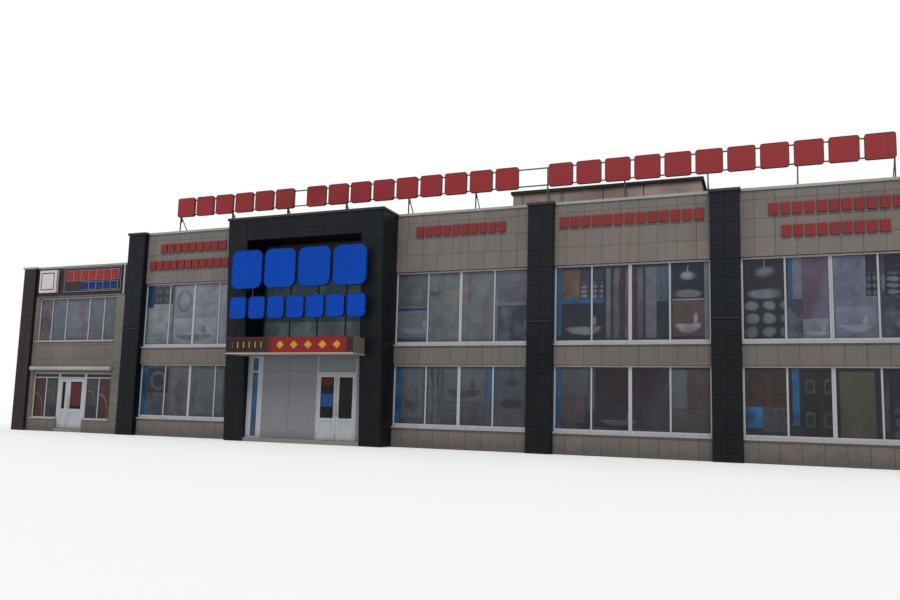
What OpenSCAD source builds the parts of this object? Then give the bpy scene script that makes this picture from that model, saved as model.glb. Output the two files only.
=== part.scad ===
// Two-storey supermarket building on a regular bay grid, with a slate entrance portal,
// a lower shop wing at its left end and a sign framework on the roof.
// Street front faces -Y, ground is z = 0, origin is the middle of the plan.

/* [Plan] */
// Distance between the centres of two pilasters
bay_pitch = 6000; // [5000:10:7200]
// Number of bays along the street, the wing included
bay_count = 6; // [6:1:6]
// How far the two pilaster lines left of the middle stand nearer to it
left_line_shift = 130; // [0:10:200]
// Depth from the street cladding to the back face
depth = 12000; // [9000:100:14500]
// Thickness of the outer walls
wall_t = 400; // [300:10:500]

/* [Levels] */
// Ground floor finish above the ground
floor_z = 150; // [100:5:200]
// Sill of the ground windows
ground_sill_z = 750; // [600:5:900]
// Height of the ground windows
ground_window_h = 2240; // [2000:10:2700]
// Height of the wall band between the two window rows
spandrel_h = 730; // [650:10:880]
// Height of the upper windows
upper_window_h = 2690; // [2240:10:3230]
// Height of the cladding above the upper windows
parapet_h = 2190; // [1900:10:2630]
// Thickness of the upper floor slab
floor_slab_t = 220; // [180:5:260]
// Upper floor finish below the upper window sill
floor_below_sill = 320; // [280:5:380]
// Thickness of the roof slab
roof_slab_t = 250; // [200:5:300]
// Parapet standing above the roof slab
roof_upstand = 1350; // [1000:10:1500]

/* [Copings] */
// Thickness of the metal coping on the parapets
cap_t = 30; // [20:1:40]
// Overhang of the coping
cap_over = 40; // [20:1:60]
// Height of the downturned edge of the coping
cap_drip = 60; // [40:5:90]
// Thickness of that edge
cap_edge_t = 6; // [4:1:8]

/* [Pilasters] */
// Width of a slate pilaster
pilaster_w = 900; // [700:10:1080]
// How far a pilaster stands out from the cladding
pilaster_proj = 230; // [150:5:280]
// Height of the metal ledge on a pilaster
ledge_z = 4450; // [4000:10:4900]
// Thickness of that ledge
ledge_t = 35; // [20:1:50]
// How far that ledge stands out
ledge_proj = 45; // [30:1:60]
// Fall of the top of that ledge
ledge_fall = 12; // [6:1:20]
// How far a back pier stands out
back_pier_proj = 60; // [40:5:120]

/* [Windows] */
// Face of the frames behind the cladding
window_setback = 100; // [60:5:140]
// Depth of every window and door frame
frame_d = 70; // [60:1:90]
// Width of a frame border and of a thin mullion
frame_w = 60; // [45:1:75]
// Width of the heavy middle mullion
middle_mullion_w = 120; // [90:1:150]
// Height of the bottom rail of the main windows
bottom_rail_h = 140; // [90:5:160]
// Width of the stepped edge round each pane
rebate_w = 12; // [8:1:16]
// Depth of that step
rebate_d = 10; // [6:1:14]
// Width and depth of the joint between two coupled window units
coupling_w = 8; // [5:1:12]
// Thickness of a glass unit
glass_t = 24; // [20:1:32]
// Thickness of a window sill
sill_t = 30; // [20:1:40]
// How far a sill stands out from the cladding
sill_proj = 45; // [30:1:60]
// Fall of the top of a sill
sill_fall = 8; // [4:1:12]
// Height of the drip edge under the nose of a sill
sill_drip = 25; // [15:1:35]
// Thickness of that edge
sill_edge_t = 6; // [4:1:8]

/* [Portal] */
// Width of each portal pier
portal_pier_w = 890; // [750:5:1100]
// How far the top of the portal stands out from the cladding
portal_proj = 1262; // [1150:2:1500]
// How far the portal leans out from its foot to its top
portal_lean = 430; // [0:10:500]
// Underside of the portal head
portal_head_z = 7720; // [7400:10:7900]
// Width of a mullion of the portal window
portal_mullion_w = 50; // [40:1:60]

/* [Canopy] */
// How far the canopy stands out from the portal
canopy_proj = 880; // [700:5:1000]
// How far the canopy laps over each pier
canopy_lap = 200; // [100:5:240]
// Underside of the canopy
canopy_z = 3240; // [3200:5:3400]
// Height of the canopy
canopy_h = 630; // [520:5:680]
// Height of the pale trim along its lower edge
canopy_trim_h = 55; // [40:1:80]
// Thickness of that trim
canopy_trim_t = 20; // [12:1:30]
// Width of the fascia that stands above the canopy roof
canopy_fascia_w = 60; // [40:5:90]
// Depth of the canopy roof below the top of the fascia
canopy_tray_d = 160; // [130:5:190]
// Height of the soffit above the bottom of the fascia
canopy_soffit_d = 25; // [10:5:40]
// Thickness of the banner board
banner_t = 15; // [10:1:25]

/* [Entrance] */
// Storefront face in front of the cladding
storefront_proj = 690; // [600:5:740]
// Clear width between the entrance door posts
door_clear_w = 1560; // [1300:5:1650]
// From the right pier to the entrance door opening
door_from_right = 280; // [220:5:420]
// Height of the entrance door opening above the floor
door_clear_h = 2440; // [2200:5:2500]
// Width of the side window with its posts
side_window_w = 680; // [600:5:780]
// Width of the posts of that side window
side_post_w = 220; // [150:5:240]
// Height of the panel joint and side window rail above the floor
panel_joint_h = 2510; // [2300:5:2600]
// Width and depth of a joint between panels
joint_w = 8; // [5:1:12]

/* [Doors] */
// Thickness of a door leaf
leaf_t = 60; // [50:1:70]
// Width of the stiles of an entrance leaf
stile_w = 110; // [80:1:125]
// Width of the stiles of a wing leaf
wing_stile_w = 150; // [110:1:155]
// Height of the lower panel of a leaf
kick_h = 700; // [500:10:850]
// Gap round a leaf
leaf_gap = 6; // [5:1:8]
// Gap between the two leaves of a door
meeting_gap = 12; // [10:1:16]
// Gap under a leaf
leaf_foot_gap = 10; // [8:1:15]
// Radius of a hinge knuckle
knuckle_r = 9; // [7:0.5:12]
// Length of one hinge knuckle
knuckle_h = 60; // [40:1:80]
// Play between two knuckles
knuckle_play = 0.3; // [0.2:0.05:0.5]
// Hinge axis in front of the leaf
hinge_out = 14; // [13:0.5:18]
// Length of a pull handle
pull_h = 500; // [300:10:700]
// Foot of a pull handle above the lower edge of the glass
pull_lift = 100; // [50:5:200]
// Radius of a pull handle
pull_r = 14; // [10:1:18]
// Pull handle away from the leaf
pull_out = 55; // [45:1:70]

/* [Wing] */
// Width of the wing's own pilaster
wing_pilaster_w = 740; // [600:10:890]
// Centre of that pilaster outside its grid line
wing_line_shift = 110; // [0:5:130]
// How far it stands out from the cladding
wing_pilaster_proj = 150; // [100:5:200]
// Width of the clad strip at the left of the wing windows
wing_left_jamb_w = 190; // [120:5:260]
// Width of the clad strip at their right
wing_right_jamb_w = 650; // [550:5:780]
// Sill of the wing's upper window
wing_sill_z = 4020; // [3800:10:4200]
// Height of the wing's upper window
wing_window_h = 1960; // [1640:10:2300]
// Height of the cladding above that window
wing_parapet_h = 1390; // [1300:10:1660]
// Parapet standing above the wing roof
wing_upstand = 700; // [500:10:900]
// Head of the wing's shopfront
wing_head_z = 2600; // [2500:10:2700]
// Sill of the wing's shop windows
wing_shop_sill_z = 600; // [500:10:700]
// Width of the middle pane of the wing window
wing_middle_pane_w = 1350; // [1100:10:1600]
// Width of the panes beside it
wing_side_pane_w = 850; // [700:10:950]
// Clear width between the wing door posts
wing_door_w = 1440; // [1200:5:1700]
// Width of the narrow leaf of the wing door
wing_narrow_leaf_w = 490; // [440:5:540]
// Underside of the transom lights
wing_transom_z = 2350; // [2300:5:2400]
// Height of the roller-shutter box
shutter_h = 150; // [120:5:200]
// How far the shutter box stands out
shutter_proj = 180; // [150:5:220]
// Radius of the upper front corner of the shutter box
shutter_r = 70; // [40:5:90]
// Width of the curtain slot under the shutter box
shutter_slot_w = 30; // [20:1:40]
// Shutter box above the shopfront
shutter_above = 110; // [80:5:150]
// Thickness of the dark sign band
wing_band_t = 30; // [20:1:40]
// Foot of that band above the wing window
wing_band_lift = 80; // [20:10:150]
// Foot of its boxes above its own foot
wing_box_lift = 130; // [60:5:160]
// Side of the square box on the band
wing_square = 1020; // [900:10:1040]
// Depth of that box
wing_square_d = 160; // [120:5:200]
// Radius of the corners of that box
wing_square_r = 60; // [30:5:80]
// That box right of the wing pilaster
wing_square_from_left = 300; // [150:10:400]
// Height of the board on the band
wing_board_h = 1080; // [900:10:1090]
// Thickness of that board
wing_board_t = 60; // [40:5:80]
// Radius of the corners of that board
wing_board_r = 30; // [20:1:40]
// Gap between the square box and the board
wing_board_gap = 400; // [250:10:700]
// Board left of the next pilaster
wing_board_from_right = 410; // [300:10:500]

/* [Roof sign] */
// Start of the sign after the pilaster beside the wing
sign_start = 1850; // [1500:5:2200]
// End of the sign before the last pilaster
sign_end = 1110; // [900:5:1500]
// Height of a sign box
sign_box_h = 810; // [650:10:970]
// Depth of a sign box
sign_box_d = 120; // [90:1:150]
// Radius of the corners of a sign box
sign_box_r = 90; // [50:1:120]
// Width of the rim round the face of a sign box
rim_w = 16; // [10:1:24]
// Depth of the face behind that rim
rim_d = 8; // [4:1:12]
// Gap between two sign boxes
sign_gap = 125; // [90:5:180]
// Gap between the first and the second group of sign boxes
sign_first_gap = 600; // [400:10:900]
// Gap between the second and the third group
sign_second_gap = 1100; // [800:10:1300]
// Underside of the sign boxes above the parapet top
sign_lift = 630; // [520:10:760]
// Width of the sign's steel sections
sign_bar = 40; // [30:1:50]
// Width of the braces
brace_w = 30; // [20:1:35]
// Sign posts behind the street cladding
sign_back = 200; // [150:5:250]
// Rails inside the top and the foot of the boxes
sign_rail_inset = 75; // [40:5:120]
// Number of sign posts
sign_posts = 11; // [9:1:13]
// Reach of the braces behind the posts
brace_reach = 1500; // [1100:10:1800]
// Size of the foot plates
foot_plate = 150; // [120:5:180]
// Thickness of the foot plates
foot_plate_t = 10; // [8:1:14]
// Side of the gusset plates at the braces
gusset = 160; // [120:5:200]
// Thickness of the gusset plates
gusset_t = 8; // [6:1:12]

/* [Portal sign] */
// Rails of the portal sign in front of the portal
portal_sign_off = 145; // [120:5:200]
// Width of those rails
portal_rail = 30; // [25:1:40]
// Side of the wall plates of those rails
portal_plate = 90; // [70:5:120]
// Depth of a portal sign block
portal_block_d = 120; // [90:1:150]
// Height of an upper block
upper_block_h = 1490; // [1180:10:1700]
// Height of a lower block
lower_block_h = 850; // [700:10:1000]
// Underside of the upper blocks
upper_block_z = 5770; // [5720:10:5850]
// Underside of the lower blocks
lower_block_z = 4610; // [4500:10:4700]
// Gap between portal sign blocks
portal_block_gap = 110; // [80:5:150]
// How far the rails lap over each pier
portal_sign_lap = 420; // [300:10:500]

/* [Wall signs] */
// Height of a wall sign block
wall_block_h = 380; // [320:5:450]
// Depth of a wall sign block
wall_block_d = 60; // [40:1:80]
// Gap between wall sign blocks
wall_block_gap = 60; // [40:1:80]
// Underside of the upper row above the window head
wall_row_lift = 1300; // [1250:10:1400]
// Step down to a second row
wall_row_step = 720; // [650:10:780]

/* [Hidden] */

$fn = 24;

// Bays and pilaster lines are counted from 0 at the left; bay i runs from line i to line i + 1
wing_bay = 0;
portal_bay = 2;
main_bays = [1, 3, 4, 5];
pilaster_lines = [1, 4, 5, 6];
house_bays = [1, 2, 3, 4, 5];

// Chamfer of the nosing of a doorway floor
nosing = 20;

// Plan lines
front_y = -depth / 2;
back_y = depth / 2;
inner_front_y = front_y + wall_t;
inner_back_y = back_y - wall_t;
window_y = front_y + window_setback;
left_x = line_x(0) - wing_pilaster_w / 2 - wing_line_shift;
right_x = line_x(bay_count) + pilaster_w / 2;
middle_wall_x = line_x(1) - wall_t / 2;

// Levels
ground_head_z = ground_sill_z + ground_window_h;
upper_sill_z = ground_head_z + spandrel_h;
upper_head_z = upper_sill_z + upper_window_h;
parapet_z = upper_head_z + parapet_h;
upper_floor_z = upper_sill_z - floor_below_sill;
roof_z = parapet_z - roof_upstand;
wing_upper_head_z = wing_sill_z + wing_window_h;
wing_parapet_z = wing_upper_head_z + wing_parapet_h;
wing_roof_z = wing_parapet_z - wing_upstand;

// Portal
portal_clear_x0 = bay_x0(portal_bay);
portal_clear_x1 = bay_x1(portal_bay);
portal_front_y = portal_y(parapet_z);
storefront_y = front_y - storefront_proj;
storefront_frame_y = [storefront_y, storefront_y + frame_d];

// Entrance door opening
door_x1 = portal_clear_x1 - door_from_right;
door_x0 = door_x1 - door_clear_w;
door_head_z = floor_z + door_clear_h;
panel_joint_z = floor_z + panel_joint_h;
panels_x0 = portal_clear_x0 + side_window_w;

// Wing shopfront
wing_x0 = bay_x0(wing_bay) + wing_left_jamb_w;
wing_x1 = bay_x1(wing_bay) - wing_right_jamb_w;
wing_mid_x = (wing_x0 + wing_x1) / 2;
wing_door_x0 = wing_mid_x - wing_door_w / 2;
wing_door_x1 = wing_mid_x + wing_door_w / 2;
wing_meeting_x = wing_door_x0 + wing_narrow_leaf_w;

// Roof sign
sign_x0 = line_x(1) + sign_start;
sign_x1 = line_x(bay_count) - sign_end;
sign_groups = [6, 9, 11];
sign_group_gaps = [sign_first_gap, sign_second_gap];
sign_box_count = sum(sign_groups);
sign_box_w = (sign_x1 - sign_x0 - (sign_box_count - len(sign_groups)) * sign_gap - sum(sign_group_gaps))
    / sign_box_count;
sign_y = front_y + sign_back;
sign_z = parapet_z + cap_t + sign_lift;
sign_post_y = sign_y + sign_bar;
sign_low_rail_z = sign_z + sign_rail_inset;
sign_high_rail_z = sign_z + sign_box_h - sign_rail_inset - sign_bar;

// Hinges: share of the leaf height at which each one sits
hinge_places = [0.1, 0.5, 0.88];
// Thickness of the plate that carries a knuckle
hinge_plate_t = 5;
// Arms of a pull handle, as shares of its length
pull_arms = [0.15, 0.85];
// Radius of those arms, as a share of the radius of the handle
pull_arm_share = 0.6;
// Panels of a leaf inside its faces, as a share of its thickness
panel_inset = 0.25;

// Portal sign rows: how many blocks, height, foot, corner radius
upper_row = [4, upper_block_h, upper_block_z, 300];
lower_row = [7, lower_block_h, lower_block_z, 160];
// Rails of those rows, as shares of the block height from its foot and from its top
portal_rail_inset = 0.22;
// Uprights of the portal sign, as shares of its width
portal_uprights = [0.16, 0.39, 0.61, 0.84];

// Wall sign rows: bay, row below the top one, blank margin at the left, at the right, blocks
wall_rows = [
    [1, 0, 730, 1010, 9], [1, 1, 200, 480, 12], [3, 0, 785, 870, 10],
    [4, 0, 180, 180, 13], [5, 0, 840, 540, 11], [5, 1, 1210, 910, 9]
];

function sum(v, i = 0) = i < len(v) ? v[i] + sum(v, i + 1) : 0;
function line_x(i) = (i - bay_count / 2) * bay_pitch + (i == 1 || i == 2 ? left_line_shift : 0);
function is_portal_line(i) = i == portal_bay || i == portal_bay + 1;
function half_w(i) = is_portal_line(i) ? portal_pier_w / 2 : pilaster_w / 2;
function line_x0(i) = i == 0 ? left_x : line_x(i) - half_w(i);
function line_x1(i) = i == 0 ? left_x + wing_pilaster_w : line_x(i) + half_w(i);
function bay_x0(i) = line_x1(i);
function bay_x1(i) = line_x0(i + 1);
function bay_w(i) = bay_x1(i) - bay_x0(i);
function boxes_before(g) = g == 0 ? 0 : sign_groups[g - 1] + boxes_before(g - 1);
function gaps_before(g) = g == 0 ? 0 : sign_group_gaps[g - 1] - sign_gap + gaps_before(g - 1);
function sign_box_x(g, k) = sign_x0 + (boxes_before(g) + k) * (sign_box_w + sign_gap) + gaps_before(g);

// Face of the leaning portal at a height
function portal_y(z) = front_y - portal_proj + portal_lean * (1 - z / parapet_z);

// Edges of the panes between mullion centres
function pane_x0(i, cuts, bars) = i == 0 ? frame_w : cuts[i - 1] + bars[i - 1] / 2;
function pane_x1(i, cuts, bars, w) = i == len(cuts) ? w - frame_w : cuts[i] - bars[i] / 2;
function quarter_cuts(w) = [w / 4, w / 2, 3 * w / 4];
main_bars = [frame_w, middle_mullion_w, frame_w];
portal_bars = [portal_mullion_w, portal_mullion_w, portal_mullion_w];
wing_bars = [frame_w, frame_w, frame_w, frame_w];
function wing_cuts(w) = [
    w / 2 - wing_middle_pane_w / 2 - wing_side_pane_w, w / 2 - wing_middle_pane_w / 2,
    w / 2 + wing_middle_pane_w / 2, w / 2 + wing_middle_pane_w / 2 + wing_side_pane_w
];

// A box between two corners
module block(x, y, z)
    translate([x[0], y[0], z[0]])
        cube([x[1] - x[0], y[1] - y[0], z[1] - z[0]]);

// An outline drawn in the YZ plane, drawn out along X
module along_x(x)
    translate([x[0], 0, 0])
        rotate([90, 0, 90])
            linear_extrude(x[1] - x[0])
                children();

// An outline drawn in the XZ plane, drawn out along Y
module along_y(y)
    translate([0, y[1], 0])
        rotate([90, 0, 0])
            linear_extrude(y[1] - y[0])
                children();

// A rectangle between two corners
module rectangle(u, v)
    translate([u[0], v[0]])
        square([u[1] - u[0], v[1] - v[0]]);

// A round-cornered plate standing in the XZ plane, its back at y = 0
module round_plate(w, h, d, r)
    rotate([90, 0, 0])
        linear_extrude(d)
            union() {
                translate([r, 0]) square([w - 2 * r, h]);
                translate([0, r]) square([w, h - 2 * r]);
                for (x = [r, w - r], z = [r, h - r])
                    translate([x, z]) circle(r);
            }

// A shallow box of that outline whose face lies behind a rim
module rimmed_box(w, h, d, r)
    difference() {
        round_plate(w, h, d, r);
        translate([rim_w, rim_d - d, rim_w])
            round_plate(w - 2 * rim_w, h - 2 * rim_w, rim_d + 1, r - rim_w);
    }

// Outlines of the panes of a frame, each widened by a step
module pane_outlines(w, h, cuts, bars, foot, step)
    for (i = [0 : len(cuts)])
        rectangle([pane_x0(i, cuts, bars) - step, pane_x1(i, cuts, bars, w) + step],
            [foot - step, h - frame_w + step]);

// A frame with upright mullions, from its lower left corner: each pane has a stepped front edge,
// and a heavy mullion shows the joint between two coupled units
module mullion_frame(w, h, cuts, bars, foot)
    difference() {
        cube([w, frame_d, h]);
        along_y([-1, frame_d + 1])
            pane_outlines(w, h, cuts, bars, foot, 0);
        along_y([-1, rebate_d])
            pane_outlines(w, h, cuts, bars, foot, rebate_w);
        for (i = [0 : len(cuts) - 1])
            if (bars[i] > frame_w)
                along_y([-1, coupling_w])
                    rectangle([cuts[i] - coupling_w / 2, cuts[i] + coupling_w / 2], [-1, h + 1]);
    }

// The glass units of such a frame
module mullion_glass(w, h, cuts, bars, foot)
    along_y([(frame_d - glass_t) / 2, (frame_d + glass_t) / 2])
        pane_outlines(w, h, cuts, bars, foot, 0);

// A steel bar of square section along a line in a YZ plane, longer than the line at both ends
module sloping_bar(x, y0, z0, y1, z1, size) {
    run = y1 - y0;
    rise = z1 - z0;
    translate([x, y0, z0])
        rotate([atan2(rise, run), 0, 0])
            translate([-size / 2, -2 * size, -size / 2])
                cube([size, norm([run, rise]) + 4 * size, size]);
}

// Slabs
main_slab_x = [line_x(1) + wall_t / 2, right_x - wall_t];
wing_slab_x = [left_x + wall_t, middle_wall_x];
inner_y = [inner_front_y, inner_back_y];

module ground_slabs() color("darkgray")
    for (x = [main_slab_x, wing_slab_x])
        block(x, inner_y, [0, floor_z]);

module upper_floor_slabs() color("darkgray")
    for (x = [main_slab_x, wing_slab_x])
        block(x, inner_y, [upper_floor_z - floor_slab_t, upper_floor_z]);

// Floors that run out through the front wall, each with a chamfered nosing
module doorway_floors() color("darkgray") {
    along_x([portal_clear_x0, portal_clear_x1]) nosed_section(portal_y(0));
    along_x([wing_door_x0 - frame_w, wing_door_x1 + frame_w]) nosed_section(front_y);
}

module nosed_section(y)
    polygon([
        [y, 0], [inner_front_y, 0], [inner_front_y, floor_z], [y + nosing, floor_z], [y, floor_z - nosing]
    ]);

module roof_slabs() color("dimgray") {
    block(main_slab_x, inner_y, [roof_z - roof_slab_t, roof_z]);
    block(wing_slab_x, inner_y, [wing_roof_z - roof_slab_t, wing_roof_z]);
}

// Side walls
module left_party_wall() color("silver")
    block([left_x, left_x + wall_t], inner_y, [0, wing_parapet_z]);

module middle_wall() color("silver")
    block([middle_wall_x, middle_wall_x + wall_t], inner_y, [0, parapet_z]);

module right_end_wall() color("silver")
    block([right_x - wall_t, right_x], inner_y, [0, parapet_z]);

// A stretch of clad wall between two pilaster lines
module wall_band(i, y, z)
    block([bay_x0(i), bay_x1(i)], y, z);

// Plinth, spandrel and parapet of each main bay
module front_wall_bands() color("tan") {
    for (i = main_bays) {
        wall_band(i, [front_y, inner_front_y], [0, ground_sill_z - sill_t]);
        wall_band(i, [front_y, inner_front_y], [ground_head_z, upper_sill_z - sill_t]);
        wall_band(i, [front_y, inner_front_y], [upper_head_z, parapet_z]);
    }
}

module pilasters() color("dimgray")
    for (i = pilaster_lines)
        block([line_x0(i), line_x1(i)], [front_y - pilaster_proj, inner_front_y], [0, parapet_z]);

module pilaster_ledges() color("silver")
    for (i = pilaster_lines)
        along_x([line_x0(i) + ledge_proj, line_x1(i) - ledge_proj])
            ledge_section(front_y - pilaster_proj);

module ledge_section(y)
    polygon([
        [y - ledge_proj, ledge_z], [y, ledge_z], [y, ledge_z + ledge_t],
        [y - ledge_proj, ledge_z + ledge_t - ledge_fall]
    ]);

// Back wall on the same grid
module back_piers() color("rosybrown")
    for (i = [0 : bay_count])
        block([line_x0(i), line_x1(i)], [inner_back_y, back_y + back_pier_proj],
            [0, i == 0 ? wing_parapet_z : parapet_z]);

module back_wall_bands() color("tan") {
    for (i = house_bays) {
        wall_band(i, [inner_back_y, back_y], [0, ground_sill_z]);
        wall_band(i, [inner_back_y, back_y], [ground_head_z, upper_sill_z]);
        wall_band(i, [inner_back_y, back_y], [upper_head_z, parapet_z]);
    }
    wall_band(wing_bay, [inner_back_y, back_y], [0, ground_sill_z]);
    wall_band(wing_bay, [inner_back_y, back_y], [wing_head_z, wing_sill_z]);
    wall_band(wing_bay, [inner_back_y, back_y], [wing_upper_head_z, wing_parapet_z]);
}

// One window of the back wall: frame or glass
module back_window(i, z0, z1, glass) {
    w = bay_w(i);
    translate([bay_x0(i), back_y - window_setback - frame_d, z0])
        if (glass)
            mullion_glass(w, z1 - z0, quarter_cuts(w), main_bars, bottom_rail_h);
        else
            mullion_frame(w, z1 - z0, quarter_cuts(w), main_bars, bottom_rail_h);
}

module back_windows(glass) {
    for (i = house_bays) {
        back_window(i, ground_sill_z, ground_head_z, glass);
        back_window(i, upper_sill_z, upper_head_z, glass);
    }
    back_window(wing_bay, ground_sill_z, wing_head_z, glass);
    back_window(wing_bay, wing_sill_z, wing_upper_head_z, glass);
}

module back_window_frames() color("white") back_windows(false);
module back_window_glass() color("lightsteelblue") back_windows(true);

// A stretch between an upright plane and the leaning face of the portal
module up_to_portal_face(x, y, z)
    along_x(x)
        polygon([[y, z[0]], [portal_y(z[0]), z[0]], [portal_y(z[1]), z[1]], [y, z[1]]]);

// Portal
module portal_piers() color("darkslategray")
    for (i = [portal_bay, portal_bay + 1])
        up_to_portal_face([line_x0(i), line_x1(i)], inner_front_y, [0, parapet_z]);

module portal_header() color("darkslategray")
    up_to_portal_face([portal_clear_x0, portal_clear_x1], front_y, [portal_head_z, parapet_z]);

// Clad wall of the portal bay over and under its window
module portal_recess_wall() color("tan") {
    wall_band(portal_bay, [front_y, inner_front_y], [upper_head_z, parapet_z]);
    wall_band(portal_bay, [front_y, inner_front_y], [upper_floor_z - floor_slab_t, upper_sill_z]);
}

module at_portal_window()
    translate([portal_clear_x0, window_y, upper_sill_z]) children();

module portal_window_frame() color("dimgray") {
    w = bay_w(portal_bay);
    at_portal_window()
        mullion_frame(w, upper_window_h, quarter_cuts(w), portal_bars, frame_w);
}

module portal_glass() color("lightblue") {
    w = bay_w(portal_bay);
    at_portal_window()
        mullion_glass(w, upper_window_h, quarter_cuts(w), portal_bars, frame_w);
    entrance_side_panes();
}

// Canopy
canopy_x = [portal_clear_x0 - canopy_lap, portal_clear_x1 + canopy_lap];
canopy_back_y = portal_y(canopy_z);
canopy_front_y = canopy_back_y - canopy_proj;
canopy_top_z = canopy_z + canopy_h;
canopy_roof_z = canopy_top_z - canopy_tray_d;
canopy_tray_x = [canopy_x[0] + canopy_fascia_w, canopy_x[1] - canopy_fascia_w];

// The canopy roof lies in a tray behind the fascia and runs back between the piers
module canopy() color("rosybrown")
    union() {
        difference() {
            up_to_portal_face(canopy_x, canopy_front_y, [canopy_z, canopy_top_z]);
            block(canopy_tray_x, [canopy_front_y + canopy_fascia_w, front_y],
                [canopy_roof_z, canopy_top_z + 1]);
            block(canopy_tray_x, [canopy_front_y + canopy_fascia_w, canopy_back_y - canopy_fascia_w],
                [canopy_z - 1, canopy_z + canopy_soffit_d]);
        }
        block([portal_clear_x0, portal_clear_x1], [canopy_back_y - canopy_fascia_w, front_y],
            [canopy_z, canopy_roof_z]);
    }

module canopy_trim() color("whitesmoke") {
    z = [canopy_z, canopy_z + canopy_trim_h];
    difference() {
        up_to_portal_face([canopy_x[0] - canopy_trim_t, canopy_x[1] + canopy_trim_t],
            canopy_front_y - canopy_trim_t, z);
        block(canopy_x, [canopy_front_y, front_y], [z[0] - 1, z[1] + 1]);
    }
}

module canopy_banner() color("firebrick")
    block(canopy_x, [canopy_front_y - banner_t, canopy_front_y], [canopy_z + canopy_trim_h, canopy_top_z]);

// Front windows of the main bays
module front_window(i, z0, z1, glass) {
    w = bay_w(i);
    translate([bay_x0(i), window_y, z0])
        if (glass)
            mullion_glass(w, z1 - z0, quarter_cuts(w), main_bars, bottom_rail_h);
        else
            mullion_frame(w, z1 - z0, quarter_cuts(w), main_bars, bottom_rail_h);
}

module front_windows(glass)
    for (i = main_bays) {
        front_window(i, ground_sill_z - sill_t, ground_head_z, glass);
        front_window(i, upper_sill_z - sill_t, upper_head_z, glass);
    }

module front_window_frames() color("white") front_windows(false);
module front_window_glass() color("lightsteelblue") front_windows(true);

// Section of a sill: sloped top, and a nose with a drip edge in front of the cladding
module sill_section(z) {
    nose_y = front_y - sill_proj;
    foot_z = z - sill_t - sill_drip;
    polygon([
        [window_y, z], [nose_y, z - sill_fall], [nose_y, foot_z], [nose_y + sill_edge_t, foot_z],
        [nose_y + sill_edge_t, z - sill_t], [window_y, z - sill_t]
    ]);
}

module window_sills() color("white") {
    for (i = main_bays, z = [ground_sill_z, upper_sill_z])
        along_x([bay_x0(i), bay_x1(i)]) sill_section(z);
    along_x([wing_x0, wing_x1]) sill_section(wing_sill_z);
    for (x = [[wing_x0, wing_door_x0 - frame_w], [wing_door_x1 + frame_w, wing_x1]])
        along_x(x) sill_section(wing_shop_sill_z);
}

// Hinge knuckles up one side of a door: the part on the leaf is the upper one of each pair
function hinge_z(k, z0, h) = z0 + hinge_places[k] * h;

module knuckle(x, y, z, side)
    translate([x, y - hinge_out, z]) {
        cylinder(h = knuckle_h, r = knuckle_r);
        mirror([side < 0 ? 1 : 0, 0, 0]) {
            block([0, 2 * knuckle_r], [-hinge_plate_t / 2, hinge_plate_t / 2], [0, knuckle_h]);
            block([2 * knuckle_r - hinge_plate_t, 2 * knuckle_r], [0, hinge_out + 1], [0, knuckle_h]);
        }
    }

// Posts beside a doorway, with the lower knuckles
module post_pair(x0, x1, y, z0, z1, leaf_h) {
    for (p = [[x0 - frame_w, x0, x0, -1], [x1, x1 + frame_w, x1, 1]])
        union() {
            block([p[0], p[1]], [y, y + frame_d], [z0, z1]);
            for (k = [0 : len(hinge_places) - 1])
                knuckle(p[2] + p[3] * -leaf_gap / 2, y,
                    hinge_z(k, z0, leaf_h) - knuckle_h - knuckle_play, p[3]);
        }
}

module door_posts() color("white") {
    post_pair(door_x0, door_x1, storefront_y, floor_z, canopy_z, door_clear_h);
    post_pair(wing_door_x0, wing_door_x1, window_y, floor_z, wing_head_z, wing_transom_z - floor_z);
}

module door_heads() color("white") {
    block([door_x0, door_x1], storefront_frame_y, [door_head_z, door_head_z + frame_w]);
    difference() {
        block([wing_door_x0, wing_door_x1], [window_y, window_y + frame_d], [wing_transom_z, wing_head_z]);
        wing_door_light([window_y - 1, window_y + frame_d + 1]);
    }
}

// Transom light over the wing door
module wing_door_light(y)
    block([wing_door_x0 + frame_w / 2, wing_door_x1 - frame_w / 2], y,
        [wing_transom_z + frame_w, wing_head_z - frame_w]);

// Narrow window at the left of the entrance
module entrance_side_frame() color("white")
    difference() {
        block([portal_clear_x0, panels_x0], storefront_frame_y, [floor_z, canopy_z]);
        side_pane_space([storefront_y - 1, storefront_y + frame_d + 1]);
    }

module side_pane_space(y) {
    x = [portal_clear_x0 + side_post_w, panels_x0 - side_post_w];
    block(x, y, [floor_z + frame_w, panel_joint_z - frame_w / 2]);
    block(x, y, [panel_joint_z + frame_w / 2, canopy_z - frame_w]);
}

module entrance_side_panes()
    side_pane_space([storefront_y + (frame_d - glass_t) / 2, storefront_y + (frame_d + glass_t) / 2]);

// Blank white panels: the wall at the left of the door, the panel over it and the strip at its right
module entrance_panels() color("whitesmoke") {
    wall_x1 = door_x0 - frame_w;
    mid_x = (panels_x0 + wall_x1) / 2;
    difference() {
        block([panels_x0, wall_x1], storefront_frame_y, [floor_z, canopy_z]);
        block([mid_x - joint_w / 2, mid_x + joint_w / 2], [storefront_y - 1, storefront_y + joint_w],
            [floor_z - 1, canopy_z + 1]);
        block([panels_x0 - 1, wall_x1 + 1], [storefront_y - 1, storefront_y + joint_w],
            [panel_joint_z - joint_w / 2, panel_joint_z + joint_w / 2]);
    }
    block([door_x0, door_x1], storefront_frame_y, [door_head_z + frame_w, canopy_z]);
    block([door_x1 + frame_w, portal_clear_x1], storefront_frame_y, [floor_z, canopy_z]);
}

// Space of the glass of a leaf, widened by a step, and the space of its lower panel
module leaf_pane(x, y, h, stile, step)
    block([x[0] + stile - step, x[1] - stile + step], y,
        [floor_z + leaf_foot_gap + kick_h + stile - step, floor_z + h - leaf_gap - stile + step]);

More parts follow.
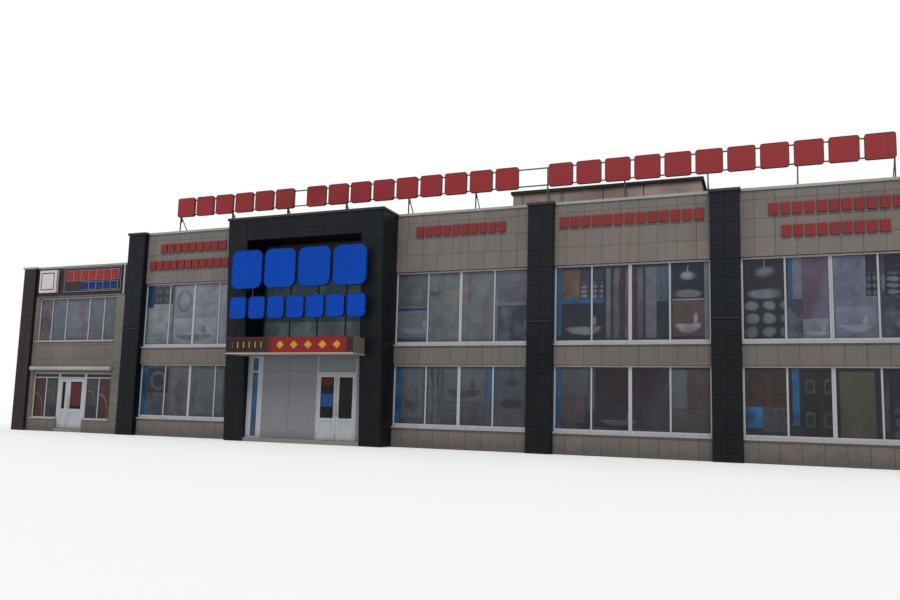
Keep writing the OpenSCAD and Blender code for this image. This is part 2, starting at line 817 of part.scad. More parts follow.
module leaf_panel(x, y, stile)
    block([x[0] + stile, x[1] - stile], y,
        [floor_z + leaf_foot_gap + stile, floor_z + leaf_foot_gap + kick_h]);

// A door leaf hinged at the side given by -1 (left) or 1 (right)
module leaf(x, y, h, side, stile)
    union() {
        difference() {
            block(x, [y, y + leaf_t], [floor_z + leaf_foot_gap, floor_z + h - leaf_gap]);
            leaf_pane(x, [y - 1, y + leaf_t + 1], h, stile, 0);
            leaf_pane(x, [y - 1, y + rebate_d], h, stile, rebate_w);
            leaf_panel(x, [y - 1, y + panel_inset * leaf_t], stile);
            leaf_panel(x, [y + (1 - panel_inset) * leaf_t, y + leaf_t + 1], stile);
        }
        for (k = [0 : len(hinge_places) - 1])
            knuckle(x[side < 0 ? 0 : 1] + side * leaf_gap / 2, y, hinge_z(k, floor_z, h), -side);
    }

module leaf_glass(x, y, h, stile)
    leaf_pane(x, [y + (leaf_t - glass_t) / 2, y + (leaf_t + glass_t) / 2], h, stile, 0);

// Pull handles on both faces of a leaf, on the middle of a stile
module pulls(x, y)
    for (face = [[y, -1], [y + leaf_t, 1]])
        translate([x, face[0], floor_z + kick_h + stile_w + pull_lift])
            union() {
                translate([0, face[1] * pull_out, 0]) cylinder(h = pull_h, r = pull_r);
                for (share = pull_arms)
                    translate([0, 0, pull_h * share])
                        rotate([face[1] > 0 ? -90 : 90, 0, 0])
                            cylinder(h = pull_out, r = pull_r * pull_arm_share);
            }

entrance_mid_x = (door_x0 + door_x1) / 2;
left_leaf_x = [door_x0 + leaf_gap, entrance_mid_x - meeting_gap / 2];
right_leaf_x = [entrance_mid_x + meeting_gap / 2, door_x1 - leaf_gap];
wing_narrow_x = [wing_door_x0 + leaf_gap, wing_meeting_x - meeting_gap / 2];
wing_leaf_x = [wing_meeting_x + meeting_gap / 2, wing_door_x1 - leaf_gap];
wing_leaf_h = wing_transom_z - floor_z;

module entrance_leaf_left() color("white")
    leaf(left_leaf_x, storefront_y, door_clear_h, -1, stile_w);
module entrance_leaf_left_glass() color("slategray")
    leaf_glass(left_leaf_x, storefront_y, door_clear_h, stile_w);
module entrance_leaf_left_pulls() color("gainsboro")
    pulls(left_leaf_x[1] - stile_w / 2, storefront_y);
module entrance_leaf_right() color("white")
    leaf(right_leaf_x, storefront_y, door_clear_h, 1, stile_w);
module entrance_leaf_right_glass() color("slategray")
    leaf_glass(right_leaf_x, storefront_y, door_clear_h, stile_w);
module entrance_leaf_right_pulls() color("gainsboro")
    pulls(right_leaf_x[0] + stile_w / 2, storefront_y);

module wing_leaf() color("white")
    leaf(wing_leaf_x, window_y, wing_leaf_h, 1, wing_stile_w);
module wing_leaf_glass() color("slategray")
    leaf_glass(wing_leaf_x, window_y, wing_leaf_h, wing_stile_w);
module wing_leaf_pulls() color("gainsboro")
    pulls(wing_leaf_x[0] + wing_stile_w / 2, window_y);
module wing_narrow_leaf() color("white")
    leaf(wing_narrow_x, window_y, wing_leaf_h, -1, wing_stile_w);
module wing_narrow_leaf_glass() color("slategray")
    leaf_glass(wing_narrow_x, window_y, wing_leaf_h, wing_stile_w);

// Wing
module wing_pilaster() color("saddlebrown")
    block([line_x0(0), line_x1(0)], [front_y - wing_pilaster_proj, inner_front_y], [0, wing_parapet_z]);

module wing_jambs() color("tan")
    for (x = [[bay_x0(wing_bay), wing_x0], [wing_x1, bay_x1(wing_bay)]])
        block(x, [front_y, inner_front_y], [0, wing_upper_head_z]);

module wing_wall_bands() color("tan") {
    wall_band(wing_bay, [front_y, inner_front_y], [wing_upper_head_z, wing_parapet_z]);
    block([wing_x0, wing_x1], [front_y, inner_front_y], [wing_head_z, wing_sill_z - sill_t]);
    for (x = [[wing_x0, wing_door_x0 - frame_w], [wing_door_x1 + frame_w, wing_x1]])
        block(x, [front_y, inner_front_y], [0, wing_shop_sill_z - sill_t]);
}

module at_wing_window()
    translate([wing_x0, window_y, wing_sill_z - sill_t]) children();

wing_w = wing_x1 - wing_x0;
wing_frame_h = wing_window_h + sill_t;

module wing_window_frame() color("white")
    at_wing_window() mullion_frame(wing_w, wing_frame_h, wing_cuts(wing_w), wing_bars, frame_w);

// Shop windows beside the wing door: two tall panes under a transom light
shop_w = wing_door_x0 - frame_w - wing_x0;
shop_sill_z = wing_shop_sill_z - sill_t;

module shop_pane_outlines(step) {
    tall_z = [frame_w - step, wing_transom_z - shop_sill_z + step];
    rectangle([frame_w - step, (shop_w - frame_w) / 2 + step], tall_z);
    rectangle([(shop_w + frame_w) / 2 - step, shop_w - frame_w + step], tall_z);
    rectangle([frame_w - step, shop_w - frame_w + step],
        [wing_transom_z - shop_sill_z + frame_w - step, wing_head_z - shop_sill_z - frame_w + step]);
}

module at_shop_windows()
    for (x = [wing_x0, wing_door_x1 + frame_w])
        translate([x, window_y, shop_sill_z]) children();

module wing_shop_frames() color("white")
    at_shop_windows()
        difference() {
            cube([shop_w, frame_d, wing_head_z - shop_sill_z]);
            along_y([-1, frame_d + 1]) shop_pane_outlines(0);
            along_y([-1, rebate_d]) shop_pane_outlines(rebate_w);
        }

module wing_glass() color("slategray") {
    at_wing_window() mullion_glass(wing_w, wing_frame_h, wing_cuts(wing_w), wing_bars, frame_w);
    at_shop_windows()
        along_y([(frame_d - glass_t) / 2, (frame_d + glass_t) / 2])
            shop_pane_outlines(0);
    wing_door_light([window_y + (frame_d - glass_t) / 2, window_y + (frame_d + glass_t) / 2]);
}

// Shutter box: round upper front corner, and the slot that the curtain comes out of
module wing_shutter_box() color("gainsboro")
    translate([0, front_y, wing_head_z + shutter_above])
        along_x([wing_x0 - frame_w, wing_x1 + frame_w])
            difference() {
                union() {
                    rectangle([-shutter_proj, 0], [0, shutter_h - shutter_r]);
                    rectangle([-shutter_proj + shutter_r, 0], [0, shutter_h]);
                    translate([-shutter_proj + shutter_r, shutter_h - shutter_r]) circle(shutter_r);
                }
                translate([-shutter_proj / 2, 0])
                    rectangle([-shutter_slot_w / 2, shutter_slot_w / 2], [-1, shutter_slot_w]);
            }

// Section of a coping over a wall: the edges at either side are turned down where it says so
module coping_section(u, low_edge, high_edge) {
    rectangle([u[0] - cap_over, u[1] + cap_over], [0, cap_t]);
    if (low_edge)
        rectangle([u[0] - cap_over, u[0] - cap_over + cap_edge_t], [-cap_drip, cap_t]);
    if (high_edge)
        rectangle([u[1] + cap_over - cap_edge_t, u[1] + cap_over], [-cap_drip, cap_t]);
}

// Coping of a street or back bay, between the heads of its pilasters
module bay_coping(x, y, z)
    translate([0, 0, z])
        along_x(x)
            coping_section(y, true, true);

// Coping along a side wall
module side_coping(x, z)
    translate([0, 0, z])
        along_y([inner_front_y + cap_over, inner_back_y - cap_over])
            coping_section(x, true, true);

module coping_runs() color("lightgray") {
    street_y = [front_y, inner_front_y];
    court_y = [inner_back_y, back_y];
    for (i = main_bays)
        bay_coping([bay_x0(i) + cap_over, bay_x1(i) - cap_over], street_y, parapet_z);
    for (i = house_bays)
        bay_coping([bay_x0(i) + cap_over, bay_x1(i) - cap_over], court_y, parapet_z);
    for (y = [street_y, court_y])
        bay_coping([bay_x0(wing_bay) + cap_over, bay_x1(wing_bay)], y, wing_parapet_z);
    side_coping([middle_wall_x, middle_wall_x + wall_t], parapet_z);
    side_coping([right_x - wall_t, right_x], parapet_z);
    side_coping([left_x, left_x + wall_t], wing_parapet_z);
}

// Coping head: its outer edge and the skirts beside the part that stands out are turned down
module street_head(x, face_y, z)
    translate([0, 0, z])
        union() {
            along_x([x[0] - cap_over, x[1] + cap_over])
                coping_section([face_y, inner_front_y], true, false);
            head_skirts(x, [face_y - cap_over, front_y - cap_over]);
        }

module court_head(i, z) {
    x = [line_x0(i), line_x1(i)];
    translate([0, 0, z])
        union() {
            along_x([x[0] - cap_over, x[1] + cap_over])
                coping_section([inner_back_y, back_y + back_pier_proj], false, true);
            head_skirts(x, [back_y + cap_over, back_y + back_pier_proj + cap_over]);
        }
}

module head_skirts(x, y)
    for (skirt_x = [x[0] - cap_over, x[1] + cap_over - cap_edge_t])
        block([skirt_x, skirt_x + cap_edge_t], y, [-cap_drip, cap_t]);

module coping_heads() color("lightgray") {
    for (i = pilaster_lines)
        street_head([line_x0(i), line_x1(i)], front_y - pilaster_proj, parapet_z);
    street_head([line_x0(portal_bay), line_x1(portal_bay + 1)], portal_front_y, parapet_z);
    street_head([line_x0(0), line_x1(0)], front_y - wing_pilaster_proj, wing_parapet_z);
    for (i = [0 : bay_count])
        court_head(i, i == 0 ? wing_parapet_z : parapet_z);
}

// Roof sign: posts on the coping, two rails on their street side, and braces down to the roof
function sign_post_x(k) = sign_x0 + sign_bar + k * (sign_x1 - sign_x0 - 2 * sign_bar) / (sign_posts - 1);

module roof_sign_rails() color("gray")
    for (z = [sign_low_rail_z, sign_high_rail_z])
        block([sign_x0, sign_x1], [sign_y - sign_bar / 2, sign_y + sign_bar / 2], [z, z + sign_bar]);

module roof_sign_posts() color("gray")
    for (k = [0 : sign_posts - 1])
        translate([sign_post_x(k), sign_post_y, parapet_z + cap_t])
            union() {
                translate([0, 0, foot_plate_t / 2])
                    cube([foot_plate, foot_plate, foot_plate_t], center = true);
                translate([-sign_bar / 2, -sign_bar / 2, 0])
                    cube([sign_bar, sign_bar, sign_high_rail_z + sign_bar - parapet_z - cap_t]);
            }

// A brace is cut flush with the back of its post and with its foot plate, and has a gusset at each end
module roof_sign_braces() color("gray") {
    back_of_post_y = sign_post_y + sign_bar / 2;
    foot_y = inner_front_y + brace_reach;
    seat_z = roof_z + foot_plate_t;
    reach = foot_y - back_of_post_y;
    for (k = [0 : sign_posts - 1])
        union() {
            block([sign_post_x(k) - foot_plate / 2, sign_post_x(k) + foot_plate / 2],
                [foot_y - foot_plate / 2, foot_y + foot_plate / 2], [roof_z, seat_z]);
            intersection() {
                sloping_bar(sign_post_x(k), foot_y, seat_z, back_of_post_y, sign_low_rail_z, brace_w);
                block([sign_post_x(k) - foot_plate, sign_post_x(k) + foot_plate],
                    [back_of_post_y, foot_y + foot_plate], [seat_z - foot_plate_t / 2, sign_high_rail_z]);
            }
            along_x([sign_post_x(k) - gusset_t / 2, sign_post_x(k) + gusset_t / 2]) {
                polygon([
                    [back_of_post_y, sign_low_rail_z], [back_of_post_y, sign_low_rail_z - 2 * gusset],
                    [back_of_post_y + gusset * reach / (sign_low_rail_z - seat_z), sign_low_rail_z - gusset]
                ]);
                rectangle([foot_y - foot_plate / 2, foot_y],
                    [seat_z - foot_plate_t / 2, seat_z + gusset / 2]);
            }
        }
}

module roof_sign_boxes() color("firebrick")
    for (g = [0 : len(sign_groups) - 1], k = [0 : sign_groups[g] - 1])
        translate([sign_box_x(g, k), sign_y - sign_bar / 2, sign_z])
            rimmed_box(sign_box_w, sign_box_h, sign_box_d, sign_box_r);

// Portal sign: two rows of blank blocks on rails held off the piers
portal_sign_x = [portal_clear_x0 - portal_sign_lap, portal_clear_x1 + portal_sign_lap];
portal_rail_y = portal_front_y - portal_sign_off;

portal_standoff_x = [portal_sign_x[0] + portal_sign_lap / 2, portal_sign_x[1] - portal_sign_lap / 2];

module portal_sign_frame() color("dimgray") {
    span = portal_sign_x[1] - portal_sign_x[0];
    union() {
        for (row = [upper_row, lower_row], f = [portal_rail_inset, 1 - portal_rail_inset]) {
            z = row[2] + f * row[1] - portal_rail / 2;
            block(portal_sign_x, [portal_rail_y, portal_rail_y + portal_rail], [z, z + portal_rail]);
            for (x = portal_standoff_x)
                portal_standoff(x, z + portal_rail / 2);
        }
        for (f = portal_uprights) {
            x = portal_sign_x[0] + f * span;
            block([x - portal_rail / 2, x + portal_rail / 2], [portal_rail_y, portal_rail_y + portal_rail],
                [lower_block_z, upper_block_z + (1 - portal_rail_inset) * upper_block_h]);
        }
    }
}

// An arm that holds a rail off its pier, with a plate on the leaning face
module portal_standoff(x, z) {
    plate_z = [z - portal_plate / 2, z + portal_plate / 2];
    up_to_portal_face([x - portal_rail / 2, x + portal_rail / 2], portal_rail_y,
        [z - portal_rail / 2, z + portal_rail / 2]);
    along_x([x - portal_plate / 2, x + portal_plate / 2])
        polygon([
            [portal_y(plate_z[0]) - foot_plate_t, plate_z[0]], [portal_y(plate_z[0]), plate_z[0]],
            [portal_y(plate_z[1]), plate_z[1]], [portal_y(plate_z[1]) - foot_plate_t, plate_z[1]]
        ]);
}

module portal_sign_blocks() color("royalblue")
    for (row = [upper_row, lower_row]) {
        w = (portal_sign_x[1] - portal_sign_x[0] - (row[0] - 1) * portal_block_gap) / row[0];
        for (k = [0 : row[0] - 1])
            translate([portal_sign_x[0] + k * (w + portal_block_gap), portal_rail_y, row[2]])
                rimmed_box(w, row[1], portal_block_d, row[3]);
    }

// Blank blocks in rows on the cladding above the windows
module wall_sign_blocks() color("firebrick")
    for (row = wall_rows) {
        z = upper_head_z + wall_row_lift - row[1] * wall_row_step;
        w = (bay_w(row[0]) - row[2] - row[3] - (row[4] - 1) * wall_block_gap) / row[4];
        for (k = [0 : row[4] - 1]) {
            x = bay_x0(row[0]) + row[2] + k * (w + wall_block_gap);
            block([x, x + w], [front_y - wall_block_d, front_y], [z, z + wall_block_h]);
        }
    }

// Sign band of the wing, with a square box and a wide board
wing_band_z = wing_upper_head_z + wing_band_lift;
wing_box_z = wing_band_z + wing_box_lift;
wing_square_x = bay_x0(wing_bay) + wing_square_from_left;
wing_board_x = [wing_square_x + wing_square + wing_board_gap, bay_x1(wing_bay) - wing_board_from_right];

module wing_sign_band() color("darkslategray")
    block([bay_x0(wing_bay), bay_x1(wing_bay)], [front_y - wing_band_t, front_y],
        [wing_band_z, wing_parapet_z]);

module wing_sign_boxes() color("whitesmoke") {
    translate([wing_square_x, front_y - wing_band_t, wing_box_z])
        rimmed_box(wing_square, wing_square, wing_square_d, wing_square_r);
    translate([wing_board_x[0], front_y - wing_band_t, wing_box_z])
        rimmed_box(wing_board_x[1] - wing_board_x[0], wing_board_h, wing_board_t, wing_board_r);
}

ground_slabs();
upper_floor_slabs();
doorway_floors();
roof_slabs();
left_party_wall();
middle_wall();
right_end_wall();
front_wall_bands();
pilasters();
pilaster_ledges();
back_piers();
back_wall_bands();
back_window_frames();
back_window_glass();
portal_piers();
portal_header();
portal_recess_wall();
portal_window_frame();
portal_glass();
canopy();
canopy_trim();
canopy_banner();
front_window_frames();
front_window_glass();
window_sills();
door_posts();
door_heads();
entrance_side_frame();
entrance_panels();
entrance_leaf_left();
entrance_leaf_left_glass();
entrance_leaf_left_pulls();
entrance_leaf_right();
entrance_leaf_right_glass();
entrance_leaf_right_pulls();
wing_pilaster();
wing_jambs();
wing_wall_bands();
wing_window_frame();
wing_shop_frames();
wing_glass();
wing_shutter_box();
wing_leaf();
wing_leaf_glass();
wing_leaf_pulls();
wing_narrow_leaf();
wing_narrow_leaf_glass();
coping_runs();
coping_heads();
roof_sign_rails();
roof_sign_posts();
roof_sign_braces();
roof_sign_boxes();
portal_sign_frame();
portal_sign_blocks();
wall_sign_blocks();
wing_sign_band();
wing_sign_boxes();
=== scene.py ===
"""Looks of the two-storey supermarket building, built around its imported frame."""
import math
import random

import bmesh
import bpy
from mathutils import Matrix, Vector


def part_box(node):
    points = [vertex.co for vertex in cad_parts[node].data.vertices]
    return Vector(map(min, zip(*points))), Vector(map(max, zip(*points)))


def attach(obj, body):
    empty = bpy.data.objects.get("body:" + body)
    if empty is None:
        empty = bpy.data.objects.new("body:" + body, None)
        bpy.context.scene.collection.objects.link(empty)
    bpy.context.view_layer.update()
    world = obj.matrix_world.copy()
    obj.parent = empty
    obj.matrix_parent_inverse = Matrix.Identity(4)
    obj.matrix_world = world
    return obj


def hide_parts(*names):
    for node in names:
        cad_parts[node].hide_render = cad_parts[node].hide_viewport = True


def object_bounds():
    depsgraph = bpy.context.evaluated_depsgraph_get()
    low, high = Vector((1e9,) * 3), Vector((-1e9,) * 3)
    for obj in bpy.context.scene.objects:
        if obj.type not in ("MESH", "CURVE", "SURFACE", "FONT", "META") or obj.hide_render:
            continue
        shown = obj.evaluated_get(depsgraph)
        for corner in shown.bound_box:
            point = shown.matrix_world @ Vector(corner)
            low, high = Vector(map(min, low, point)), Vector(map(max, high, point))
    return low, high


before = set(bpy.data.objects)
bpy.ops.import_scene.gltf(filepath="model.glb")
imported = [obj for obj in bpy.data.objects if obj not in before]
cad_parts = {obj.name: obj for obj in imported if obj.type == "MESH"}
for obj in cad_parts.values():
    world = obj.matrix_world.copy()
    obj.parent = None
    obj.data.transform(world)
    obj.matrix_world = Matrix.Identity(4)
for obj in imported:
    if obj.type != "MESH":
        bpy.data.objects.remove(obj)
cad_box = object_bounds()
chance = random.Random(11)

# Camera of the photograph: its place in metres, its turn and tilt in radians, its lens in pixels
CAMERA_SPOT = Vector((13.2449, -32.8376, 1.2251))
CAMERA_YAW = -0.3951
CAMERA_PITCH = 0.1190
CAMERA_ROLL = 0.0281
PHOTO_WIDTH = 900
PHOTO_HEIGHT = 600
FOCAL_PIXELS = 807.509
AXIS_PIXEL_X = 434.9985
AXIS_PIXEL_Y = 317.5075
SENSOR_MM = 36.0

# Porcelain tile cladding
TILE_PITCH = 0.608
TILE_JOINT = 0.010
TILE_THICKNESS = 0.010
TILE_ARRIS = 0.0015
TILE_FOOT = 0.012

# Joints between the blank panels of the entrance
PANEL_JOINT = 0.008

# Plastered room on the roof behind the sign: left end, widths of its wall sheets, face, depth and flat slab
ROOM_LEFT = 3.98
ROOM_SHEETS = (2.00, 1.55, 1.50, 2.05)
ROOM_FACE_Y = -2.92
ROOM_DEPTH = 5.40
ROOM_WALL = 0.25
ROOM_SHEET_THICKNESS = 0.02
ROOM_SHEET_GAP = 0.03
ROOM_SLAB_THICKNESS = 0.12
ROOM_SLAB_LAP = 0.08
ROOM_BELOW_SIGN_TOP = 0.03

# Corners nearer than this are one corner
WELD = 0.00002

LEAVES = ("entrance_leaf_left", "entrance_leaf_right", "wing_leaf", "wing_narrow_leaf")

# Smoothing of thin metal profiles, and the least angle of a corner that is rounded off, in degrees
SMOOTH_ANGLE = 40.0
ROUNDED_ANGLE = 25.0

# Bevels of thin profiles and of fittings
THIN_BEVEL = 0.001

# Least cosine between a face and the way it looks, for a flat front and for a tile
FRONT = 0.9
STRAIGHT = 0.99

# Windows whose foot is above this belong to the upper storey
UPPER_FROM = 3.0
WINDOW_PANES = 4

GLASS_ROUGHNESS = 0.02

# Small fittings
EYELETS = 11
EYELET_END = 0.06
EYELET_RADIUS = 0.012
SQUARE_FRAME_INSET = 0.11
BLOCK_GAP = 0.02
BLOCK_RIM = 0.012
SEAL_WIDTH = 0.012
SEAL_DEPTH = 0.005
LEAF_FACE_TO_GLASS = 0.018
LEAF_DEPTH = 0.060
LOCK_FOOT, LOCK_MIDDLE, LOCK_TOP = 1.02, 1.08, 1.14
LOCK_HALF_WIDTH = 0.018
CLOSER_FROM_PANE_EDGE = 0.17
CLOSER_HALF_LENGTH = 0.13
SHEET_MARGIN = 0.03
BOLT_HEAD = 0.008
PLATE = 0.010
STRAP_SPACING = 2.0
STRAP_WIDTH = 0.06
SOFFIT_PANELS = 6
SOFFIT_EDGE = 0.07
FELT_LAP = 0.03
FELT_THICKNESS = (0.007, 0.004)
UPSTAND_HEIGHT = 0.25
UPSTAND_THICKNESS = 0.010
SCREW_ROWS = 6
SCREW_FROM_SIDE = 0.04
SCREW_FROM_END = 0.05


# Helpers that make meshes

def solids(node):
    """(low corner, high corner) of each separate solid of a CAD node, from left to right."""
    bm = bmesh.new()
    bm.from_mesh(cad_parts[node].data)
    bmesh.ops.remove_doubles(bm, verts=bm.verts, dist=WELD)
    todo = set(bm.verts)
    found = []
    while todo:
        reach = [todo.pop()]
        low = reach[0].co.copy()
        high = low.copy()
        while reach:
            vert = reach.pop()
            low = Vector(map(min, low, vert.co))
            high = Vector(map(max, high, vert.co))
            near = {edge.other_vert(vert) for edge in vert.link_edges} & todo
            todo -= near
            reach.extend(near)
        found.append((low, high))
    bm.free()
    return sorted(found, key=lambda s: tuple(round(c, 3) for c in s[0]))


def piece(bm, name, slot, materials=None, body="house", replaced=(), smooth_angle=None):
    """Turns a bmesh into a finished piece, in the named materials or else in that of its slot."""
    mesh = bpy.data.meshes.new(name)
    bm.to_mesh(mesh)
    bm.free()
    for material in materials or [slot]:
        mesh.materials.append(MATERIALS[material])
    if smooth_angle:
        mesh.polygons.foreach_set("use_smooth", [True] * len(mesh.polygons))
        mesh.set_sharp_from_angle(angle=math.radians(smooth_angle))
    made = bpy.data.objects.new(name, mesh)
    bpy.context.scene.collection.objects.link(made)
    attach(made, body)
    if replaced:
        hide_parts(*replaced)
    return made


def add_box(bm, low, high, material=0, bevel=0.0):
    """Adds a box between two corners, its edges rounded off by bevel."""
    low, high = Vector(low), Vector(high)
    place = Matrix.Translation((low + high) / 2) @ Matrix.Diagonal((*(high - low), 1.0))
    verts = bmesh.ops.create_cube(bm, size=1.0, matrix=place)["verts"]
    faces = {face for vert in verts for face in vert.link_faces}
    for face in faces:
        face.material_index = material
    if bevel:
        edges = list({edge for vert in verts for edge in vert.link_edges})
        bmesh.ops.bevel(bm, geom=edges, offset=bevel, offset_type="OFFSET", segments=2, profile=0.5,
                        material=-1, affect="EDGES", clamp_overlap=True)
    return verts


def add_rod(bm, start, end, radius, material=0, sides=12):
    """Adds a round rod between two points."""
    start, end = Vector(start), Vector(end)
    along = end - start
    turn = along.to_track_quat("Z", "Y").to_matrix().to_4x4()
    place = Matrix.Translation((start + end) / 2) @ turn
    verts = bmesh.ops.create_cone(bm, cap_ends=True, segments=sides, radius1=radius, radius2=radius,
                                  depth=along.length, matrix=place)["verts"]
    for face in {face for vert in verts for face in vert.link_faces}:
        face.material_index = material


def add_ring(bm, low, high, y, width, depth):
    """Adds a flat rectangular ring in the XZ plane, its front face at y, between two corners."""
    middle = Vector(((low.x + high.x) / 2, y, (low.z + high.z) / 2))
    size = Matrix.Diagonal(((high.x - low.x) / 2, 1.0, (high.z - low.z) / 2, 1.0))
    place = Matrix.Translation(middle) @ size @ Matrix.Rotation(math.radians(90), 4, "X")
    verts = bmesh.ops.create_grid(bm, x_segments=1, y_segments=1, size=1.0, matrix=place)["verts"]
    face = verts[0].link_faces[0]
    rim = bmesh.ops.inset_region(bm, faces=[face], thickness=width, depth=0.0,
                                 use_even_offset=True, use_boundary=True)["faces"]
    bmesh.ops.delete(bm, geom=[face], context="FACES_ONLY")
    thick = bmesh.ops.extrude_face_region(bm, geom=rim)["geom"]
    corners = [g for g in thick if isinstance(g, bmesh.types.BMVert)]
    bmesh.ops.translate(bm, vec=(0.0, depth, 0.0), verts=corners)
    bmesh.ops.recalc_face_normals(bm, faces=list({f for v in corners for f in v.link_faces} | set(rim)))


def box_piece(name, slot, boxes, bevel=0.0, materials=None, body="house", replaced=()):
    """A piece made of boxes, each given by its low and high corner."""
    bm = bmesh.new()
    for low, high in boxes:
        add_box(bm, low, high, 0, bevel)
    piece(bm, name, slot, materials, body, replaced)


def ring_piece(name, slot, rings, width, depth, materials=None, body="house"):
    """A piece made of flat rings, each given by its low and high corner and the place of its front face."""
    bm = bmesh.new()
    for low, high, y in rings:
        add_ring(bm, low, high, y, width, depth)
    piece(bm, name, slot, materials, body)


def softened(node, slot, materials=None, bevel=0.002, body="house", smooth_angle=None, least=ROUNDED_ANGLE):
    """A copy of a CAD node with its corners rounded off, which stands for that node."""
    bm = bmesh.new()
    bm.from_mesh(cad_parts[node].data)
    bmesh.ops.remove_doubles(bm, verts=bm.verts, dist=WELD)
    bmesh.ops.dissolve_limit(bm, angle_limit=math.radians(1.0), verts=bm.verts, edges=bm.edges)
    sharp = [e for e in bm.edges if len(e.link_faces) == 2 and e.calc_face_angle(0.0) > math.radians(least)]
    bmesh.ops.bevel(bm, geom=sharp, offset=bevel, offset_type="OFFSET", segments=2, profile=0.5,
                    material=-1, affect="EDGES", clamp_overlap=True)
    for face in bm.faces:
        face.material_index = 0
    return piece(bm, node + "_finished", slot, materials, body, (node,), smooth_angle)


# Helpers that make materials

def colour(code):
    """Linear colour of a web colour code."""
    parts = [int(code[i:i + 2], 16) / 255 for i in (0, 2, 4)]
    return tuple(p / 12.92 if p < 0.04045 else ((p + 0.055) / 1.055) ** 2.4 for p in parts) + (1.0,)


def feed(tree, node, inputs):
    """Gives the inputs of a node a value or a socket to link to, and returns the node."""
    for key, value in inputs.items():
        if isinstance(value, bpy.types.NodeSocket):
            tree.links.new(value, node.inputs[key])
        else:
            node.inputs[key].default_value = value
    return node


def put(tree, kind, inputs=None, **settings):
    """Adds a shader node with these inputs and settings."""
    made = tree.nodes.new("ShaderNode" + kind)
    for key, value in settings.items():
        setattr(made, key, value)
    return feed(tree, made, inputs or {})


def maths(tree, operation, *values):
    """Adds a Math node and returns its result."""
    return put(tree, "Math", dict(enumerate(values)), operation=operation).outputs[0]


def mix(tree, share, first, second, way="MIX"):
    """Mixes two colours and returns the result."""
    return put(tree, "Mix", {0: share, 6: first, 7: second}, data_type="RGBA", blend_type=way).outputs[2]


def ramp(tree, value, low, high, start=0.0, end=1.0):
    """Maps low..high smoothly to start..end."""
    inputs = {"Value": value, "From Min": low, "From Max": high, "To Min": start, "To Max": end}
    return put(tree, "MapRange", inputs, interpolation_type="SMOOTHSTEP").outputs[0]


def noise(tree, vector, scale, detail=3.0):
    """Adds a noise and returns its value."""
    return put(tree, "TexNoise", {"Vector": vector, "Scale": scale, "Detail": detail}).outputs["Fac"]


def object_place(tree, scale=(1.0, 1.0, 1.0)):
    """Object coordinates, stretched."""
    place = put(tree, "TexCoord").outputs["Object"]
    return put(tree, "Mapping", {"Vector": place, "Scale": scale}).outputs[0]


def object_height(tree):
    """Height above the ground."""
    return put(tree, "SeparateXYZ", {0: object_place(tree)}).outputs["Z"]


def bump(tree, height, distance):
    """Adds a Bump node and returns its normal."""
    return put(tree, "Bump", {"Height": height, "Distance": distance, "Strength": 1.0}).outputs[0]


def group(name, inputs, outputs):
    """Starts a shader node group: its tree, its input node and its output node."""
    tree = bpy.data.node_groups.new(name, "ShaderNodeTree")
    for label, kind, value in inputs:
        socket = tree.interface.new_socket(label, in_out="INPUT", socket_type="NodeSocket" + kind)
        socket.default_value = value
    for label, kind in outputs:
        tree.interface.new_socket(label, in_out="OUTPUT", socket_type="NodeSocket" + kind)
    return tree, tree.nodes.new("NodeGroupInput"), tree.nodes.new("NodeGroupOutput")


def place_group(tree, shared, inputs):
    """Places a shared group in a material."""
    made = tree.nodes.new("ShaderNodeGroup")
    made.node_tree = shared
    return feed(tree, made, inputs)


def weather_group():
    """Rain streaks, broad stains and dirt splashed up from the ground."""
    tree, given, result = group(
        "weather",
        [("Colour", "Color", (0.5, 0.5, 0.5, 1.0)), ("Dirt", "Color", (0.1, 0.09, 0.08, 1.0)),
         ("Streaks", "Float", 0.3), ("Stains", "Float", 0.3), ("Splash", "Float", 0.5)],
        [("Colour", "Color"), ("Mask", "Float")])
    runs = ramp(tree, noise(tree, object_place(tree, (5.0, 5.0, 0.22)), 1.0, 5.0), 0.48, 0.78)
    patches = ramp(tree, noise(tree, object_place(tree), 0.55, 4.0), 0.42, 0.72)
    height = object_height(tree)
    ragged = maths(tree, "MULTIPLY", noise(tree, object_place(tree), 3.0, 4.0), 0.7)
    low = ramp(tree, maths(tree, "SUBTRACT", height, ragged), 0.30, -0.35)
    streaks = maths(tree, "MULTIPLY", runs, given.outputs["Streaks"])
    stains = maths(tree, "MULTIPLY", patches, given.outputs["Stains"])
    splash = maths(tree, "MULTIPLY", low, given.outputs["Splash"])
    mask = maths(tree, "MAXIMUM", maths(tree, "MAXIMUM", streaks, stains), splash)
    tree.links.new(mix(tree, mask, given.outputs["Colour"], given.outputs["Dirt"]), result.inputs["Colour"])
    tree.links.new(mask, result.inputs["Mask"])
    return tree


def grain_group():
    """Fine speckle of stone, plaster, rubber or paint."""
    tree, given, result = group(
        "grain",
        [("Colour", "Color", (0.5, 0.5, 0.5, 1.0)), ("Scale", "Float", 60.0), ("Amount", "Float", 0.15)],
        [("Colour", "Color"), ("Height", "Float")])
    fine = noise(tree, object_place(tree), given.outputs["Scale"], 4.0)
    coarse = noise(tree, object_place(tree), maths(tree, "MULTIPLY", given.outputs["Scale"], 0.13), 3.0)
    both = maths(tree, "ADD", maths(tree, "MULTIPLY", fine, 0.6), maths(tree, "MULTIPLY", coarse, 0.4))
    swing = maths(tree, "MULTIPLY", maths(tree, "SUBTRACT", both, 0.5), given.outputs["Amount"])
    bright = maths(tree, "ADD", 1.0, maths(tree, "MULTIPLY", swing, 4.0))
    grey = put(tree, "CombineColor", {0: bright, 1: bright, 2: bright}).outputs[0]
    tree.links.new(mix(tree, 1.0, given.outputs["Colour"], grey, "MULTIPLY"), result.inputs["Colour"])
    tree.links.new(both, result.inputs["Height"])
    return tree


